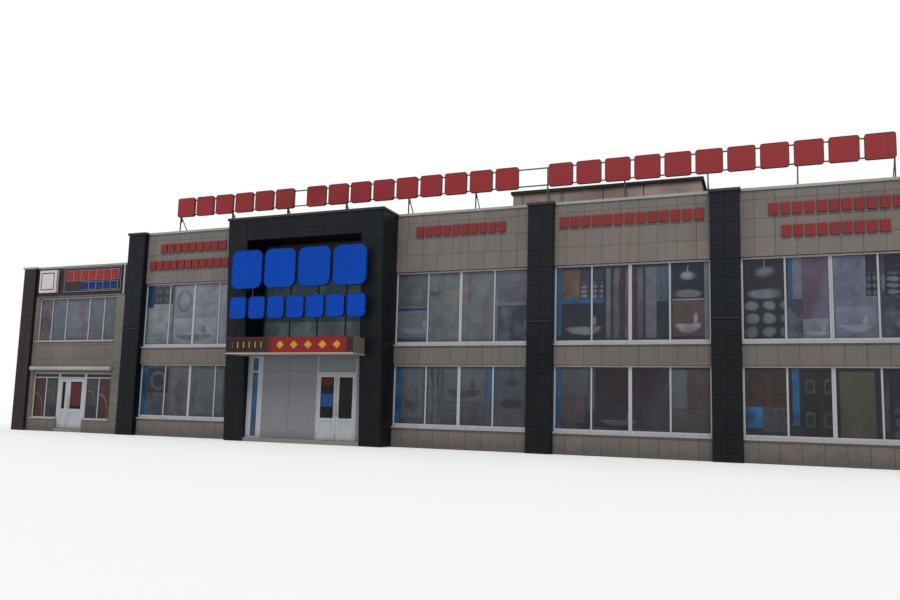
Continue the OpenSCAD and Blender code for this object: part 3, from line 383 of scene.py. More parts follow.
def tone_group():
    """Difference in tone from one tile or sheet to the next, from the attribute tone."""
    tree, given, result = group(
        "tone", [("Colour", "Color", (0.5, 0.5, 0.5, 1.0)), ("Warm", "Color", (0.5, 0.4, 0.3, 1.0)),
                 ("Amount", "Float", 0.1)], [("Colour", "Color")])
    tone = put(tree, "Attribute", attribute_name="tone").outputs["Fac"]
    swing = maths(tree, "MULTIPLY", maths(tree, "SUBTRACT", tone, 0.5), given.outputs["Amount"])
    bright = maths(tree, "ADD", 1.0, maths(tree, "MULTIPLY", swing, 2.0))
    grey = put(tree, "CombineColor", {0: bright, 1: bright, 2: bright}).outputs[0]
    warmed = mix(tree, ramp(tree, tone, 0.62, 0.95, 0.0, 0.5), given.outputs["Colour"], given.outputs["Warm"])
    tree.links.new(mix(tree, 1.0, warmed, grey, "MULTIPLY"), result.inputs["Colour"])
    return tree


WEATHER = weather_group()
GRAIN = grain_group()
TONE = tone_group()


def surface(name, roughness, metallic=0.0, coat=0.0, gloss=0.5):
    """A material with a bare shader: the material, its tree and its shader."""
    material = bpy.data.materials.new(name)
    material.use_nodes = True
    tree = material.node_tree
    tree.nodes.clear()
    shader = tree.nodes.new("ShaderNodeBsdfPrincipled")
    shader.inputs["Roughness"].default_value = roughness
    shader.inputs["Metallic"].default_value = metallic
    shader.inputs["Coat Weight"].default_value = coat
    shader.inputs["Specular IOR Level"].default_value = gloss
    output = tree.nodes.new("ShaderNodeOutputMaterial")
    tree.links.new(shader.outputs[0], output.inputs[0])
    return material, tree, shader


def weathered(name, body, dirt, roughness, scale, amount, streaks, stains, splash, relief, gloss,
              metallic=0.0, warm=None, tone=0.0, foot=1.0):
    """A grained surface with dirt, with a tone of its own on each tile or sheet where tone is given, and
    with painted shade that darkens it by the share foot on the ground storey."""
    material, tree, shader = surface(name, roughness, metallic, 0.0, gloss)
    base = colour(body)
    if tone:
        base = place_group(tree, TONE, {"Colour": base, "Warm": colour(warm or body), "Amount": tone}).outputs[0]
    grain = place_group(tree, GRAIN, {"Colour": base, "Scale": scale, "Amount": amount})
    aged = place_group(tree, WEATHER, {"Colour": grain.outputs["Colour"], "Dirt": colour(dirt),
                                       "Streaks": streaks, "Stains": stains, "Splash": splash})
    shown = aged.outputs["Colour"]
    # Painted shade: the colour is mixed towards black below 5.2 m, by the full share 1 - foot from 3.4 m down.
    if foot < 1.0:
        height = object_height(tree)
        shown = mix(tree, ramp(tree, height, 5.2, 3.4, 0.0, 1.0 - foot), shown, (0.0, 0.0, 0.0, 1.0))
    tree.links.new(shown, shader.inputs["Base Color"])
    rough = maths(tree, "MULTIPLY_ADD", aged.outputs["Mask"], 0.35, roughness)
    tree.links.new(maths(tree, "MINIMUM", rough, 0.95), shader.inputs["Roughness"])
    tree.links.new(bump(tree, grain.outputs["Height"], relief), shader.inputs["Normal"])
    return material


def glass(name, tint, dusty, bending=1.45):
    """Clear or tinted glass with a faint film of dust."""
    material, tree, shader = surface(name, GLASS_ROUGHNESS)
    shader.inputs["Transmission Weight"].default_value = 1.0
    shader.inputs["IOR"].default_value = bending
    dust = ramp(tree, noise(tree, object_place(tree, (3.0, 3.0, 0.6)), 1.2, 5.0), 0.45, 0.8, 0.0, dusty)
    tree.links.new(mix(tree, dust, colour(tint), colour("8d8a84")), shader.inputs["Base Color"])
    tree.links.new(maths(tree, "MULTIPLY_ADD", dust, 0.8, GLASS_ROUGHNESS), shader.inputs["Roughness"])
    return material


def printed_film():
    """Glass with a printed film behind it. Soft shapes come from the UV map print, their colours from attributes. The
    films low on the ground storey are darkened with painted shade.
    """
    material, tree, shader = surface("printed_film", 0.35, 0.0, 0.16, 0.2)
    shader.inputs["Coat Roughness"].default_value = 0.04
    flat = put(tree, "UVMap", uv_map="print").outputs[0]
    flat_split = put(tree, "SeparateXYZ", {0: flat})
    ripple = put(tree, "TexNoise", {"Vector": object_place(tree), "Scale": 2.0, "Detail": 3.0}).outputs["Color"]
    ripple = put(tree, "VectorMath", {0: ripple, 1: (0.5, 0.5, 0.5)}, operation="SUBTRACT").outputs[0]
    place = put(tree, "VectorMath", {0: ripple, 1: (0.11, 0.11, 0.0), 2: flat}, operation="MULTIPLY_ADD").outputs[0]
    split = put(tree, "SeparateXYZ", {0: place})
    across, up = split.outputs[0], split.outputs[1]
    first = put(tree, "Attribute", attribute_name="print_a").outputs["Color"]
    second = put(tree, "Attribute", attribute_name="print_b").outputs["Color"]
    motif = put(tree, "Attribute", attribute_name="motif").outputs["Fac"]
    drift = noise(tree, object_place(tree), 1.4, 3.0)
    sway = maths(tree, "SUBTRACT", drift, 0.5)

    def reach(x, y, wide, high, wobble=0.15):
        """Distance from a spot of the field, counted in ovals."""
        oval = put(tree, "Mapping", {"Vector": place, "Location": (-x / wide, -y / high, 0.0),
                                     "Scale": (1.0 / wide, 1.0 / high, 0.0)}).outputs[0]
        length = put(tree, "VectorMath", {0: oval}, operation="LENGTH").outputs["Value"]
        return maths(tree, "ADD", length, maths(tree, "MULTIPLY", sway, wobble * 4.0))

    def joined(*masks):
        result = masks[0]
        for mask in masks[1:]:
            result = maths(tree, "MAXIMUM", result, mask)
        return result

    def both(one, other):
        return maths(tree, "MULTIPLY", one, other)

    def stripe(value, middle, half, soft=0.02):
        """1 where the value lies near the middle."""
        off = maths(tree, "ABSOLUTE", maths(tree, "SUBTRACT", value, middle))
        return ramp(tree, off, half + soft, half)

    def barred(value, pitch, half):
        """1 on bars of twice this half width, a pitch apart."""
        return stripe(maths(tree, "PINGPONG", value, pitch), pitch / 2, half, 0.015)

    # Motif 1: the rim of a round mirror
    rim = stripe(reach(0.5, 0.5, 0.32, 0.32, 0.05), 1.0, 0.12, 0.14)
    # Motif 2: upright folds
    phase = maths(tree, "ADD", maths(tree, "MULTIPLY", across, 17.0), maths(tree, "MULTIPLY", sway, 7.0))
    folds = ramp(tree, maths(tree, "SINE", phase), -0.9, 1.0)
    # Motif 3: a slanting wedge of light
    lean = maths(tree, "ADD", maths(tree, "MULTIPLY", across, 0.9), maths(tree, "MULTIPLY", up, -0.7))
    wedge = ramp(tree, lean, 0.05, 0.45)
    # Motif 4: small wall tiles
    small = put(tree, "TexBrick", {"Vector": place, "Scale": 7.0, "Mortar Size": 0.03, "Color1": (0.3, 0.3, 0.3, 1),
                                   "Color2": (0.8, 0.8, 0.8, 1), "Mortar": (0.0, 0.0, 0.0, 1)}, offset=0.0)
    tiles = put(tree, "RGBToBW", {0: small.outputs["Color"]}).outputs[0]
    # Motif 5: soft clouds
    clouds = ramp(tree, noise(tree, object_place(tree, (1.0, 1.0, 0.7)), 1.9, 4.0), 0.42, 0.62)
    # Motif 6: round plates in rows
    grid = put(tree, "Mapping", {"Vector": place, "Scale": (2.5, 6.0, 0.0)}).outputs[0]
    cell = put(tree, "VectorMath", {0: grid}, operation="FRACTION").outputs[0]
    off = put(tree, "VectorMath", {0: cell, 1: (0.5, 0.5, 0.0)}, operation="DISTANCE").outputs["Value"]
    plates = both(ramp(tree, off, 0.46, 0.26), ramp(tree, up, 0.62, 0.48))
    # Motif 7: a hanging lamp over a table
    lamp = joined(ramp(tree, reach(0.5, 0.68, 0.18, 0.11, 0.0), 1.6, 0.5),
                  both(stripe(across, 0.5, 0.006), ramp(tree, up, 0.70, 0.74)),
                  ramp(tree, reach(0.5, 0.12, 0.42, 0.15, 0.05), 1.15, 0.6))
    # Motif 8: framed squares
    squares = both(barred(across, 0.5, 0.13), barred(up, 0.5, 0.11))
    squares = both(squares, maths(tree, "SUBTRACT", 1.0, both(barred(across, 0.5, 0.07), barred(up, 0.5, 0.06))))
    # Motif 9: a low basin before a wall
    basin = joined(both(ramp(tree, reach(0.5, 0.36, 0.40, 0.26, 0.03), 1.1, 0.8), ramp(tree, up, 0.38, 0.32)),
                   ramp(tree, reach(0.72, 0.5, 0.06, 0.15, 0.0), 1.25, 0.7))
    # Motif 10: upright bars of two tones
    bars = ramp(tree, maths(tree, "PINGPONG", across, 0.17), 0.075, 0.11)
    # Motif 11: a thin arc
    arcs = stripe(reach(0.15, 0.1, 0.62, 0.5, 0.0), 1.0, 0.03, 0.06)
    shape = 0.0
    motifs = (rim, folds, wedge, tiles, clouds, plates, lamp, squares, basin, bars, arcs)
    for number, mask in enumerate(motifs, 1):
        chosen = maths(tree, "COMPARE", motif, float(number), 0.4)
        shape = maths(tree, "ADD", shape, both(chosen, mask))
    faded = both(shape, ramp(tree, drift, 0.25, 0.7, 0.35, 0.8))
    picture = mix(tree, faded, first, second)
    shade = ramp(tree, noise(tree, object_place(tree), 2.6, 5.0), 0.25, 0.75, 0.84, 1.16)
    mottle = ramp(tree, noise(tree, object_place(tree), 9.0, 6.0), 0.3, 0.7, 0.95, 1.05)
    height = object_height(tree)
    # Darker towards the foot of each field; below 4.2 m the films are also darkened with painted shade, down to 0.38 of
    # their colour at 2.6 m.
    depth = both(ramp(tree, flat_split.outputs[1], 0.0, 1.0, 0.86, 1.1), ramp(tree, height, 2.6, 4.2, 0.38, 1.0))
    mottle_gradient_and_painted_shade = both(both(shade, mottle), depth)
    tint = put(tree, "CombineColor", {0: both(mottle_gradient_and_painted_shade, 0.86), 1: both(mottle_gradient_and_painted_shade, 0.90), 2: both(mottle_gradient_and_painted_shade, 0.99)}).outputs[0]
    picture = mix(tree, 1.0, picture, tint, "MULTIPLY")
    edges = [maths(tree, "MINIMUM", side, maths(tree, "SUBTRACT", 1.0, side)) for side in flat_split.outputs[:2]]
    border = ramp(tree, maths(tree, "MINIMUM", *edges), 0.020, 0.010, 0.0, 0.45)
    picture = mix(tree, border, picture, colour("15171c"))
    aged = place_group(tree, WEATHER, {"Colour": picture, "Dirt": colour("4f4c48"), "Streaks": 0.10,
                                       "Stains": 0.08, "Splash": 0.1})
    tree.links.new(aged.outputs["Colour"], shader.inputs["Base Color"])
    return material


def banner_print():
    """Banner board: red between two dark ends, with upright gold bars and a few plain gold lozenges."""
    material, tree, shader = surface("banner_print", 0.5, 0.0, 0.0, 0.2)
    split = put(tree, "SeparateXYZ", {0: put(tree, "UVMap", uv_map="print").outputs[0]})
    across, up = split.outputs[0], split.outputs[1]
    high = maths(tree, "ABSOLUTE", maths(tree, "SUBTRACT", up, 0.5))
    left, right = ramp(tree, across, 0.40, 0.32), ramp(tree, across, 0.93, 0.97)
    field = mix(tree, maths(tree, "MAXIMUM", left, right), colour("7a1515"), colour("1c1312"))
    bars = ramp(tree, maths(tree, "PINGPONG", across, 0.024), 0.0045, 0.0025)
    bars = maths(tree, "MULTIPLY", bars, ramp(tree, high, 0.22, 0.17))
    bars = maths(tree, "MULTIPLY", bars, maths(tree, "COMPARE", across, 0.18, 0.13))
    step = maths(tree, "PINGPONG", across, 0.055)
    spot = maths(tree, "ADD", maths(tree, "MULTIPLY", step, 20.0), maths(tree, "MULTIPLY", high, 2.4))
    lozenges = maths(tree, "MULTIPLY", ramp(tree, spot, 0.66, 0.58), maths(tree, "COMPARE", across, 0.66, 0.245))
    field = mix(tree, maths(tree, "MAXIMUM", bars, lozenges), field, colour("b98a26"))
    field = mix(tree, ramp(tree, high, 0.43, 0.45, 0.0, 0.8), field, colour("5c1413"))
    aged = place_group(tree, WEATHER, {"Colour": field, "Dirt": colour("3b2d28"), "Streaks": 0.35, "Stains": 0.25,
                                       "Splash": 0.0})
    grain = place_group(tree, GRAIN, {"Colour": aged.outputs["Colour"], "Scale": 40.0, "Amount": 0.06})
    tree.links.new(grain.outputs["Colour"], shader.inputs["Base Color"])
    tree.links.new(bump(tree, noise(tree, object_place(tree, (2.0, 2.0, 0.6)), 2.0), 0.01), shader.inputs["Normal"])
    return material


def brushed_steel():
    """Pull handles: steel brushed across."""
    material, tree, shader = surface("pull_steel", 0.3, 1.0)
    lines = noise(tree, object_place(tree, (30.0, 30.0, 900.0)), 1.0, 2.0)
    tree.links.new(ramp(tree, lines, 0.2, 0.8, 0.22, 0.4), shader.inputs["Roughness"])
    tree.links.new(mix(tree, lines, colour("b9bbbd"), colour("8f9294")), shader.inputs["Base Color"])
    tree.links.new(bump(tree, lines, 0.0001), shader.inputs["Normal"])
    return material


# Of each surface: body and dirt colour, roughness, scale and amount of grain, share of streaks, stains and
# splash, relief in metres, gloss
SURFACES = {
    "beige_tile": ("66605b", "37322d", .45, 55, .12, .30, .24, .5, .0006, .3),
    "slate_tile": ("13171d", "1e1c1a", .40, 70, .2, .14, .2, .4, .0006, .13),
    "plum_tile": ("241a1d", "302925", .40, 70, .2, .16, .2, .4, .0006, .16),
    # The recess tile is a darker, browner copy of the beige tile: painted shade of the portal recess.
    "painted_shade_recess_tile": ("453e39", "27231f", .45, 55, .12, .25, .3, 0, .0006, .3),
    # The joint filler also colours the undersides of the cladding, as painted shade.
    "joint_filler_and_underside_shade": ("100f0e", "0b0a0a", .9, 90, .3, .2, .3, .3, .0006, .1),
    "plaster": ("8b8377", "4c463e", .85, 38, .16, .35, .35, .7, .0015, .3),
    "concrete": ("7b7770", "48443f", .85, 26, .2, .1, .4, .3, .0015, .3),
    "roofing": ("434344", "67635d", .85, 48, .25, .1, .5, 0, .0012, .3),
    "cap_metal": ("8a8b8b", "4f4a45", .42, 120, .06, .3, .25, 0, .0002, .5),
    "dark_cap_metal": ("25262a", "38342f", .42, 120, .1, .3, .25, 0, .0002, .3),
    "white_frame": ("999b9e", "5d5851", .36, 160, .03, .26, .12, .45, .0001, .4),
    "white_trim": ("918f8a", "4b453f", .42, 140, .04, .38, .24, .3, .0001, .35),
    # The white entrance panels are coloured dark grey: painted shade of the canopy over them.
    "white_panel": ("6a6a70", "4b4846", .36, 130, .03, .2, .15, .5, .0001, .35),
    "white_box": ("b7b7b6", "65605a", .36, 130, .03, .2, .12, 0, .0001, .4),
    "dark_frame": ("2a2c2f", "4a4743", .38, 150, .08, .2, .2, 0, .0001, .5),
    "canopy_panel": ("69615b", "322e2a", .45, 110, .05, .3, .2, 0, .0002, .3),
    "sign_steel": ("3c3f40", "54341f", .5, 80, .15, .3, .45, 0, .0003, .5),
    "zinc_bolt": ("7d7f80", "5c4030", .4, 150, .1, .2, .4, .1, .0001, .5),
    "dark_board": ("221b1e", "3b332e", .45, 90, .08, .2, .2, 0, .0002, .25),
    "rubber_seal": ("151617", "3a3835", .7, 120, .2, .2, .2, .2, .0002, .3),
    "red_sign": ("7e1a1e", "471614", .45, 90, .05, .22, .18, 0, .0001, .3),
    "red_wall_sign": ("701a1b", "3c1413", .45, 90, .05, .25, .2, 0, .0001, .3),
    "red_sign_return": ("571618", "2c0f0e", .5, 90, .08, .3, .2, 0, .0001, .3),
    "blue_sign": ("003c9c", "07204c", .6, 90, .05, .2, .16, 0, .0001, .1),
    "blue_sign_return": ("042a6a", "071838", .6, 90, .08, .3, .2, 0, .0001, .1),
    "navy_sign": ("14285c", "0c1632", .6, 90, .05, .2, .16, 0, .0001, .15),
    "red_sheet": ("4a1b1e", "2a1616", .6, 60, .12, .3, .4, 0, .0001, .2),
    "blue_sheet": ("1c4270", "15283f", .6, 60, .12, .3, .4, 0, .0001, .2),
    "roof_room_plaster": ("9a8880", "4a433b", .85, 14, .2, .5, .6, 0, .002, .2),
    "roof_room_slab": ("2f2d2b", "1b1a19", .9, 30, .25, .3, .4, 0, .0015, .2),
}
# foot: share of colour kept on the ground storey; the beige and slate tiles get painted shade there.
MORE = {
    "beige_tile": dict(warm="6b5c56", tone=.06, foot=.84), "slate_tile": dict(warm="181516", tone=.18, foot=.55),
    "plum_tile": dict(warm="281d19", tone=.12), "painted_shade_recess_tile": dict(warm="4a3f38", tone=.06),
    "roofing": dict(warm="4a4744", tone=.16), "roof_room_plaster": dict(warm="5c5346", tone=.3),
    "cap_metal": dict(metallic=.2), "dark_frame": dict(metallic=.3), "sign_steel": dict(metallic=.3),
    "zinc_bolt": dict(metallic=.8),
}
MATERIALS = {name: weathered(name, *values, **MORE.get(name, {})) for name, values in SURFACES.items()}
MATERIALS["printed_film"] = printed_film()
MATERIALS["banner_print"] = banner_print()
MATERIALS["window_glass"] = glass("window_glass", "9fb2b6", 0.12)
# Door glass tinted near black: painted shade standing in for the dark shop behind the doors.
MATERIALS["door_glass"] = glass("door_glass", "171b1c", 0.02, 1.25)
MATERIALS["pull_steel"] = brushed_steel()


# Tile cladding

def even_joints(low, high):
    """Joints of a row of whole tiles with two equal cut tiles at its ends."""
    whole = math.floor((high - low) / TILE_PITCH)
    if high - low - whole * TILE_PITCH < TILE_PITCH / 2:
        whole -= 1
    first = (low + high - whole * TILE_PITCH) / 2
    return [first + k * TILE_PITCH for k in range(whole + 1)]


def joints_from(start, end, step=TILE_PITCH, least=0.05):
    """Joints at every step after start, up to the last that leaves a cut tile before end."""
    count = math.floor((end - start - least) / step)
    return [start + (k + 1) * step for k in range(count)]


def portal_depth(z):
    """Depth of the leaning face of the portal in front of the street cladding, at height z."""
    return PORTAL_FOOT + (PORTAL_TOP - PORTAL_FOOT) * z / PORTAL_HIGH


def lean_out(bm):
    """Brings what stands in front of the street cladding under the leaning face of the portal."""
    for vert in bm.verts:
        if vert.co.y < CLADDING_Y - WELD:
            vert.co.y = CLADDING_Y - (CLADDING_Y - vert.co.y) * portal_depth(vert.co.z) / PORTAL_TOP


def clad(node, name, slot, sides, joints, tile=None, leaning=False):
    """Stands for a CAD wall: a core with raised tiles on the named sides, joints at the given places."""
    bm = bmesh.new()
    tone = bm.faces.layers.float.new("tone")
    for low, high in solids(node):
        for side in sides:
            axis = "xyz".index(side[1])
            if side[0] == "-":
                low[axis] += TILE_THICKNESS
            else:
                high[axis] -= TILE_THICKNESS
        add_box(bm, low, high, 2)
    for axis, places in joints.items():
        normal = Vector([float(a == axis) for a in "xyz"])
        for place in places:
            everything = bm.verts[:] + bm.edges[:] + bm.faces[:]
            bmesh.ops.bisect_plane(bm, geom=everything, dist=WELD, plane_co=normal * place, plane_no=normal)
    outward = [Vector([(1.0 if side[0] == "+" else -1.0) * float(a == side[1]) for a in "xyz"]) for side in sides]
    bm.normal_update()
    faces = [f for f in bm.faces if any(f.normal.dot(way) > STRAIGHT for way in outward)]
    # Downward faces take the dark joint filler: partly a metal starter strip, partly painted shade under the bands.
    for face in bm.faces:
        if face.normal.z < -STRAIGHT:
            face.material_index = 1
    for face in bmesh.ops.inset_individual(bm, faces=faces, thickness=TILE_JOINT / 2, depth=0.0)["faces"]:
        face.material_index = 1
    bmesh.ops.inset_individual(bm, faces=faces, thickness=TILE_ARRIS, depth=TILE_THICKNESS)
    for face in faces:
        value = chance.random()
        for other in {f for edge in face.edges for f in edge.link_faces}:
            other[tone] = value
            other.material_index = 0
    if leaning:
        lean_out(bm)
    piece(bm, name, slot, [tile or slot, "joint_filler_and_underside_shade", "plaster"], "house", (node,))


def bay_joints(node):
    """Upright joints of every bay that a node's solids fill."""
    spans = sorted({(round(low.x, 4), round(high.x, 4)) for low, high in solids(node)})
    return [x for low, high in spans for x in even_joints(low, high)]


def band_rows(node):
    """Level joints of every wall band, counted from its foot."""
    spans = sorted({(round(low.z, 4), round(high.z, 4)) for low, high in solids(node)})
    return [z for low, high in spans for z in joints_from(low + TILE_FOOT, high)]


def rows_below(top, first, least=0.1):
    """Level joints from the first one below a wall top down to the ground."""
    return [z for z in (top - first - k * TILE_PITCH for k in range(math.ceil(top / TILE_PITCH))) if z > least]


PILASTER_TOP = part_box("pilasters")[1].z
PILASTER_ROWS = rows_below(PILASTER_TOP, 0.43)
PORTAL_ROWS = rows_below(PILASTER_TOP, 0.54)
CLADDING_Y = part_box("front_wall_bands")[0].y
BACK_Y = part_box("back_wall_bands")[1].y

# Depth of the portal in front of the street cladding, at its foot and at its top
PORTAL_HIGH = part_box("portal_piers")[1].z
PORTAL_TOP = CLADDING_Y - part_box("portal_piers")[0].y
PORTAL_FOOT = CLADDING_Y - min(v.co.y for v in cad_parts["portal_piers"].data.vertices if v.co.z < 0.001)


def middles(node):
    """Middle of each solid of a node along the street."""
    return sorted({round((low.x + high.x) / 2, 4) for low, high in solids(node)})


def band_joints(node):
    """Joints of a wall made of bands."""
    return {"x": bay_joints(node), "z": band_rows(node)}


def pier_joints(node, *y):
    """Joints of piers: up the middle of each, across its sides at y, and in the rows of the pilasters."""
    return {"x": middles(node), "y": list(y), "z": PILASTER_ROWS}


def build_cladding():
    """Tiles on the walls, the pilasters and the portal."""
    end_low, end_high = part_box("right_end_wall")
    pane_low, pane_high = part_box("wing_glass")
    street_corner, back_corner = CLADDING_Y - TILE_JOINT, BACK_Y + TILE_JOINT
    portal_middle = CLADDING_Y - PORTAL_TOP / 2
    street_pier, back_pier = ["-y", "-x", "+x"], ["+y", "-x", "+x"]
    clad("front_wall_bands", "street_wall_tiles", "beige_tile", ["-y"], band_joints("front_wall_bands"))
    clad("back_wall_bands", "back_wall_tiles", "beige_tile", ["+y"], band_joints("back_wall_bands"))
    clad("right_end_wall", "end_wall_tiles", "beige_tile", ["+x"],
         {"y": even_joints(end_low.y, end_high.y), "z": joints_from(TILE_FOOT, end_high.z)})
    clad("wing_jambs", "wing_jamb_tiles", "beige_tile", ["-y"],
         {"z": joints_from(TILE_FOOT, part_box("wing_jambs")[1].z)})
    clad("wing_wall_bands", "wing_wall_tiles", "beige_tile", ["-y"],
         {"x": even_joints(pane_low.x, pane_high.x), "z": band_rows("wing_wall_bands")})
    # The wall over the portal window takes the darker recess tile: painted shade.
    clad("portal_recess_wall", "portal_recess_tiles", "beige_tile", ["-y"], band_joints("portal_recess_wall"),
         "painted_shade_recess_tile")
    clad("pilasters", "pilaster_tiles", "slate_tile", street_pier, pier_joints("pilasters", street_corner))
    clad("back_piers", "back_pier_tiles", "slate_tile", back_pier, pier_joints("back_piers", back_corner))
    clad("portal_piers", "portal_pier_tiles", "slate_tile", street_pier,
         {**pier_joints("portal_piers", portal_middle, street_corner), "z": PORTAL_ROWS}, leaning=True)
    clad("portal_header", "portal_head_tiles", "slate_tile", ["-y", "-z"],
         {"x": bay_joints("portal_header"), "y": [portal_middle], "z": PORTAL_ROWS}, leaning=True)
    clad("wing_pilaster", "wing_pilaster_tiles", "plum_tile", street_pier,
         pier_joints("wing_pilaster", street_corner))


# Printed films on the panes

FILM_COLOURS = {
    "strip": "15304f", "sky": "1d4464", "azure": "2f78a8", "clay": "453733", "moss": "464c4a", "reed": "545b59",
    "lilac": "41424f", "haze": "5c5c68",
    "rose": "584a4c", "blush": "685855", "sand": "5f5a4c", "wine": "32242a", "night": "1a1c25", "teal": "2f474d",
    "pale": "6e7173", "rust": "4f3a32", "dusk": "2a2c38", "ash": "50525a", "red": "5a1d20", "cream": "8b867d",
    "fog": "5d6065", "plum": "30202c", "mauve": "4b3c49", "pink": "6a4f50", "mist": "44565a", "light": "858a8c",
    "linen": "80838a", "sea": "4a5a5c", "jade": "64736f", "foam": "80918d",
}

# Layouts: left, foot, right and top of each printed field as shares of its window, two colours and a motif.
# A later field lies over the earlier ones.
LAYOUTS = {
    "bay1_ground": [(0, 0, 1, 1, "fog", "lilac", 5), (0, 0, .055, 1, "azure", "sky", 5),
                    (.055, .45, .28, .95, "dusk", "pale", 1), (.30, 0, .56, 1, "pale", "rose", 5),
                    (.56, .05, .84, .95, "pale", "fog", 9), (.84, 0, 1, 1, "dusk", "ash", 2)],
    "bay1_upper": [(0, 0, 1, 1, "pale", "fog", 5), (0, .62, .07, 1, "strip", "sky", 0),
                   (.07, .68, .27, .97, "dusk", "fog", 8), (.02, .06, .25, .58, "pale", "fog", 7),
                   (.27, 0, .29, 1, "moss", "ash", 0), (.29, 0, .74, .44, "pale", "dusk", 9),
                   (.29, .46, .50, .98, "pale", "ash", 1), (.75, 0, .90, .98, "pale", "fog", 4),
                   (.90, 0, 1, 1, "lilac", "rose", 2)],
    "bay3_ground": [(0, 0, 1, 1, "fog", "ash", 5), (0, 0, .05, 1, "azure", "sky", 5),
                    (.05, .10, .22, .97, "pale", "lilac", 9), (.24, 0, .36, .97, "pale", "dusk", 2),
                    (.38, .40, .70, .97, "pale", "dusk", 9), (.38, 0, .70, .38, "fog", "dusk", 4),
                    (.72, .30, .77, .97, "azure", "dusk", 3), (.78, .30, 1, .97, "fog", "night", 7)],
    "bay3_upper": [(0, 0, 1, 1, "reed", "ash", 5), (0, .52, .24, .98, "moss", "reed", 9),
                   (.24, .60, .36, .97, "reed", "dusk", 9), (0, .06, .30, .46, "ash", "pale", 9),
                   (0, 0, .24, .05, "strip", "sky", 0), (0, .46, .24, .50, "strip", "sky", 0),
                   (.36, .02, .56, .98, "reed", "blush", 5), (.56, .02, .76, .98, "reed", "rose", 5),
                   (.78, .55, 1, .97, "ash", "rose", 3), (.78, 0, 1, .50, "dusk", "ash", 5)],
    "bay4_ground": [(0, 0, 1, 1, "dusk", "fog", 5), (0, 0, .035, 1, "azure", "sky", 5),
                    (.035, .52, .22, .98, "fog", "ash", 0), (.035, .10, .20, .52, "rose", "pink", 8),
                    (.22, .30, .27, 1, "ash", "fog", 2), (.27, .04, .74, .98, "plum", "ash", 3),
                    (.27, .04, .58, .40, "dusk", "linen", 9), (.75, .36, .86, .97, "pale", "fog", 0),
                    (.86, .36, 1, .97, "rose", "pink", 2), (.75, 0, 1, .36, "rose", "ash", 4)],
    "bay4_upper": [(0, 0, 1, 1, "night", "dusk", 5), (0, .05, .035, 1, "sky", "strip", 0),
                   (.035, .56, .16, .96, "rust", "sand", 3), (.16, .56, .32, .96, "dusk", "pale", 6),
                   (.02, .50, .33, .56, "sky", "strip", 0), (.035, .02, .34, .48, "night", "pale", 9),
                   (.34, .02, .37, .97, "ash", "sand", 0), (.37, .02, .60, .97, "wine", "ash", 10),
                   (.60, .02, .67, .97, "ash", "lilac", 0), (.67, .50, .77, .97, "teal", "ash", 2),
                   (.77, .54, .97, .96, "night", "light", 7), (.77, .04, .97, .50, "clay", "light", 9),
                   (.77, .505, .97, .525, "pale", "pale", 0), (.97, 0, 1, 1, "fog", "ash", 0)],
    "bay5_ground": [(0, 0, 1, 1, "dusk", "night", 5), (0, .42, .25, .97, "rust", "dusk", 8),
                    (0, .10, .10, .42, "azure", "strip", 5), (.10, .05, .25, .42, "ash", "night", 8),
                    (.27, .15, .31, 1, "azure", "sky", 5), (.32, 0, .52, .97, "night", "fog", 8),
                    (.53, 0, .72, .96, "sand", "moss", 0), (.72, .1, .79, .96, "dusk", "fog", 3),
                    (.80, 0, 1, .97, "dusk", "fog", 6)],
    "bay5_upper": [(0, 0, .25, 1, "night", "pale", 6), (0, .5, .25, 1, "night", "pale", 7),
                   (.25, 0, .34, .48, "dusk", "fog", 5), (.26, .48, .285, 1, "sky", "sky", 0),
                   (.285, .48, .34, 1, "haze", "ash", 2), (.34, .22, .50, 1, "mauve", "haze", 3),
                   (.34, 0, .50, .24, "fog", "linen", 9), (.50, 0, .77, 1, "haze", "lilac", 5),
                   (.52, .04, .74, .38, "haze", "linen", 9), (.69, .5, .77, 1, "night", "fog", 6),
                   (.77, 0, 1, 1, "dusk", "fog", 5), (.79, .5, 1, .98, "night", "pale", 6)],
    "portal": [(0, 0, 1, 1, "sea", "jade", 5), (0, 0, 1, .34, "jade", "foam", 5)],
    "wing_upper": [(0, 0, 1, 1, "ash", "moss", 5), (0, 0, .17, 1, "rose", "dusk", 5),
                   (.17, 0, .34, 1, "ash", "mist", 2),
                   (.34, .06, .65, .94, "fog", "rose", 5), (.65, 0, .84, 1, "ash", "moss", 0),
                   (.84, 0, 1, 1, "moss", "fog", 4)],
    "wing_shop": [(0, 0, 1, 1, "dusk", "ash", 5), (.1, .3, .9, .95, "moss", "light", 11)],
    "wing_outer": [(0, 0, 1, 1, "red", "cream", 11)],
    "transom": [(0, 0, 1, 1, "night", "dusk", 0)],
    "side_light": [(0, 0, 1, 1, "azure", "sky", 5)],
}


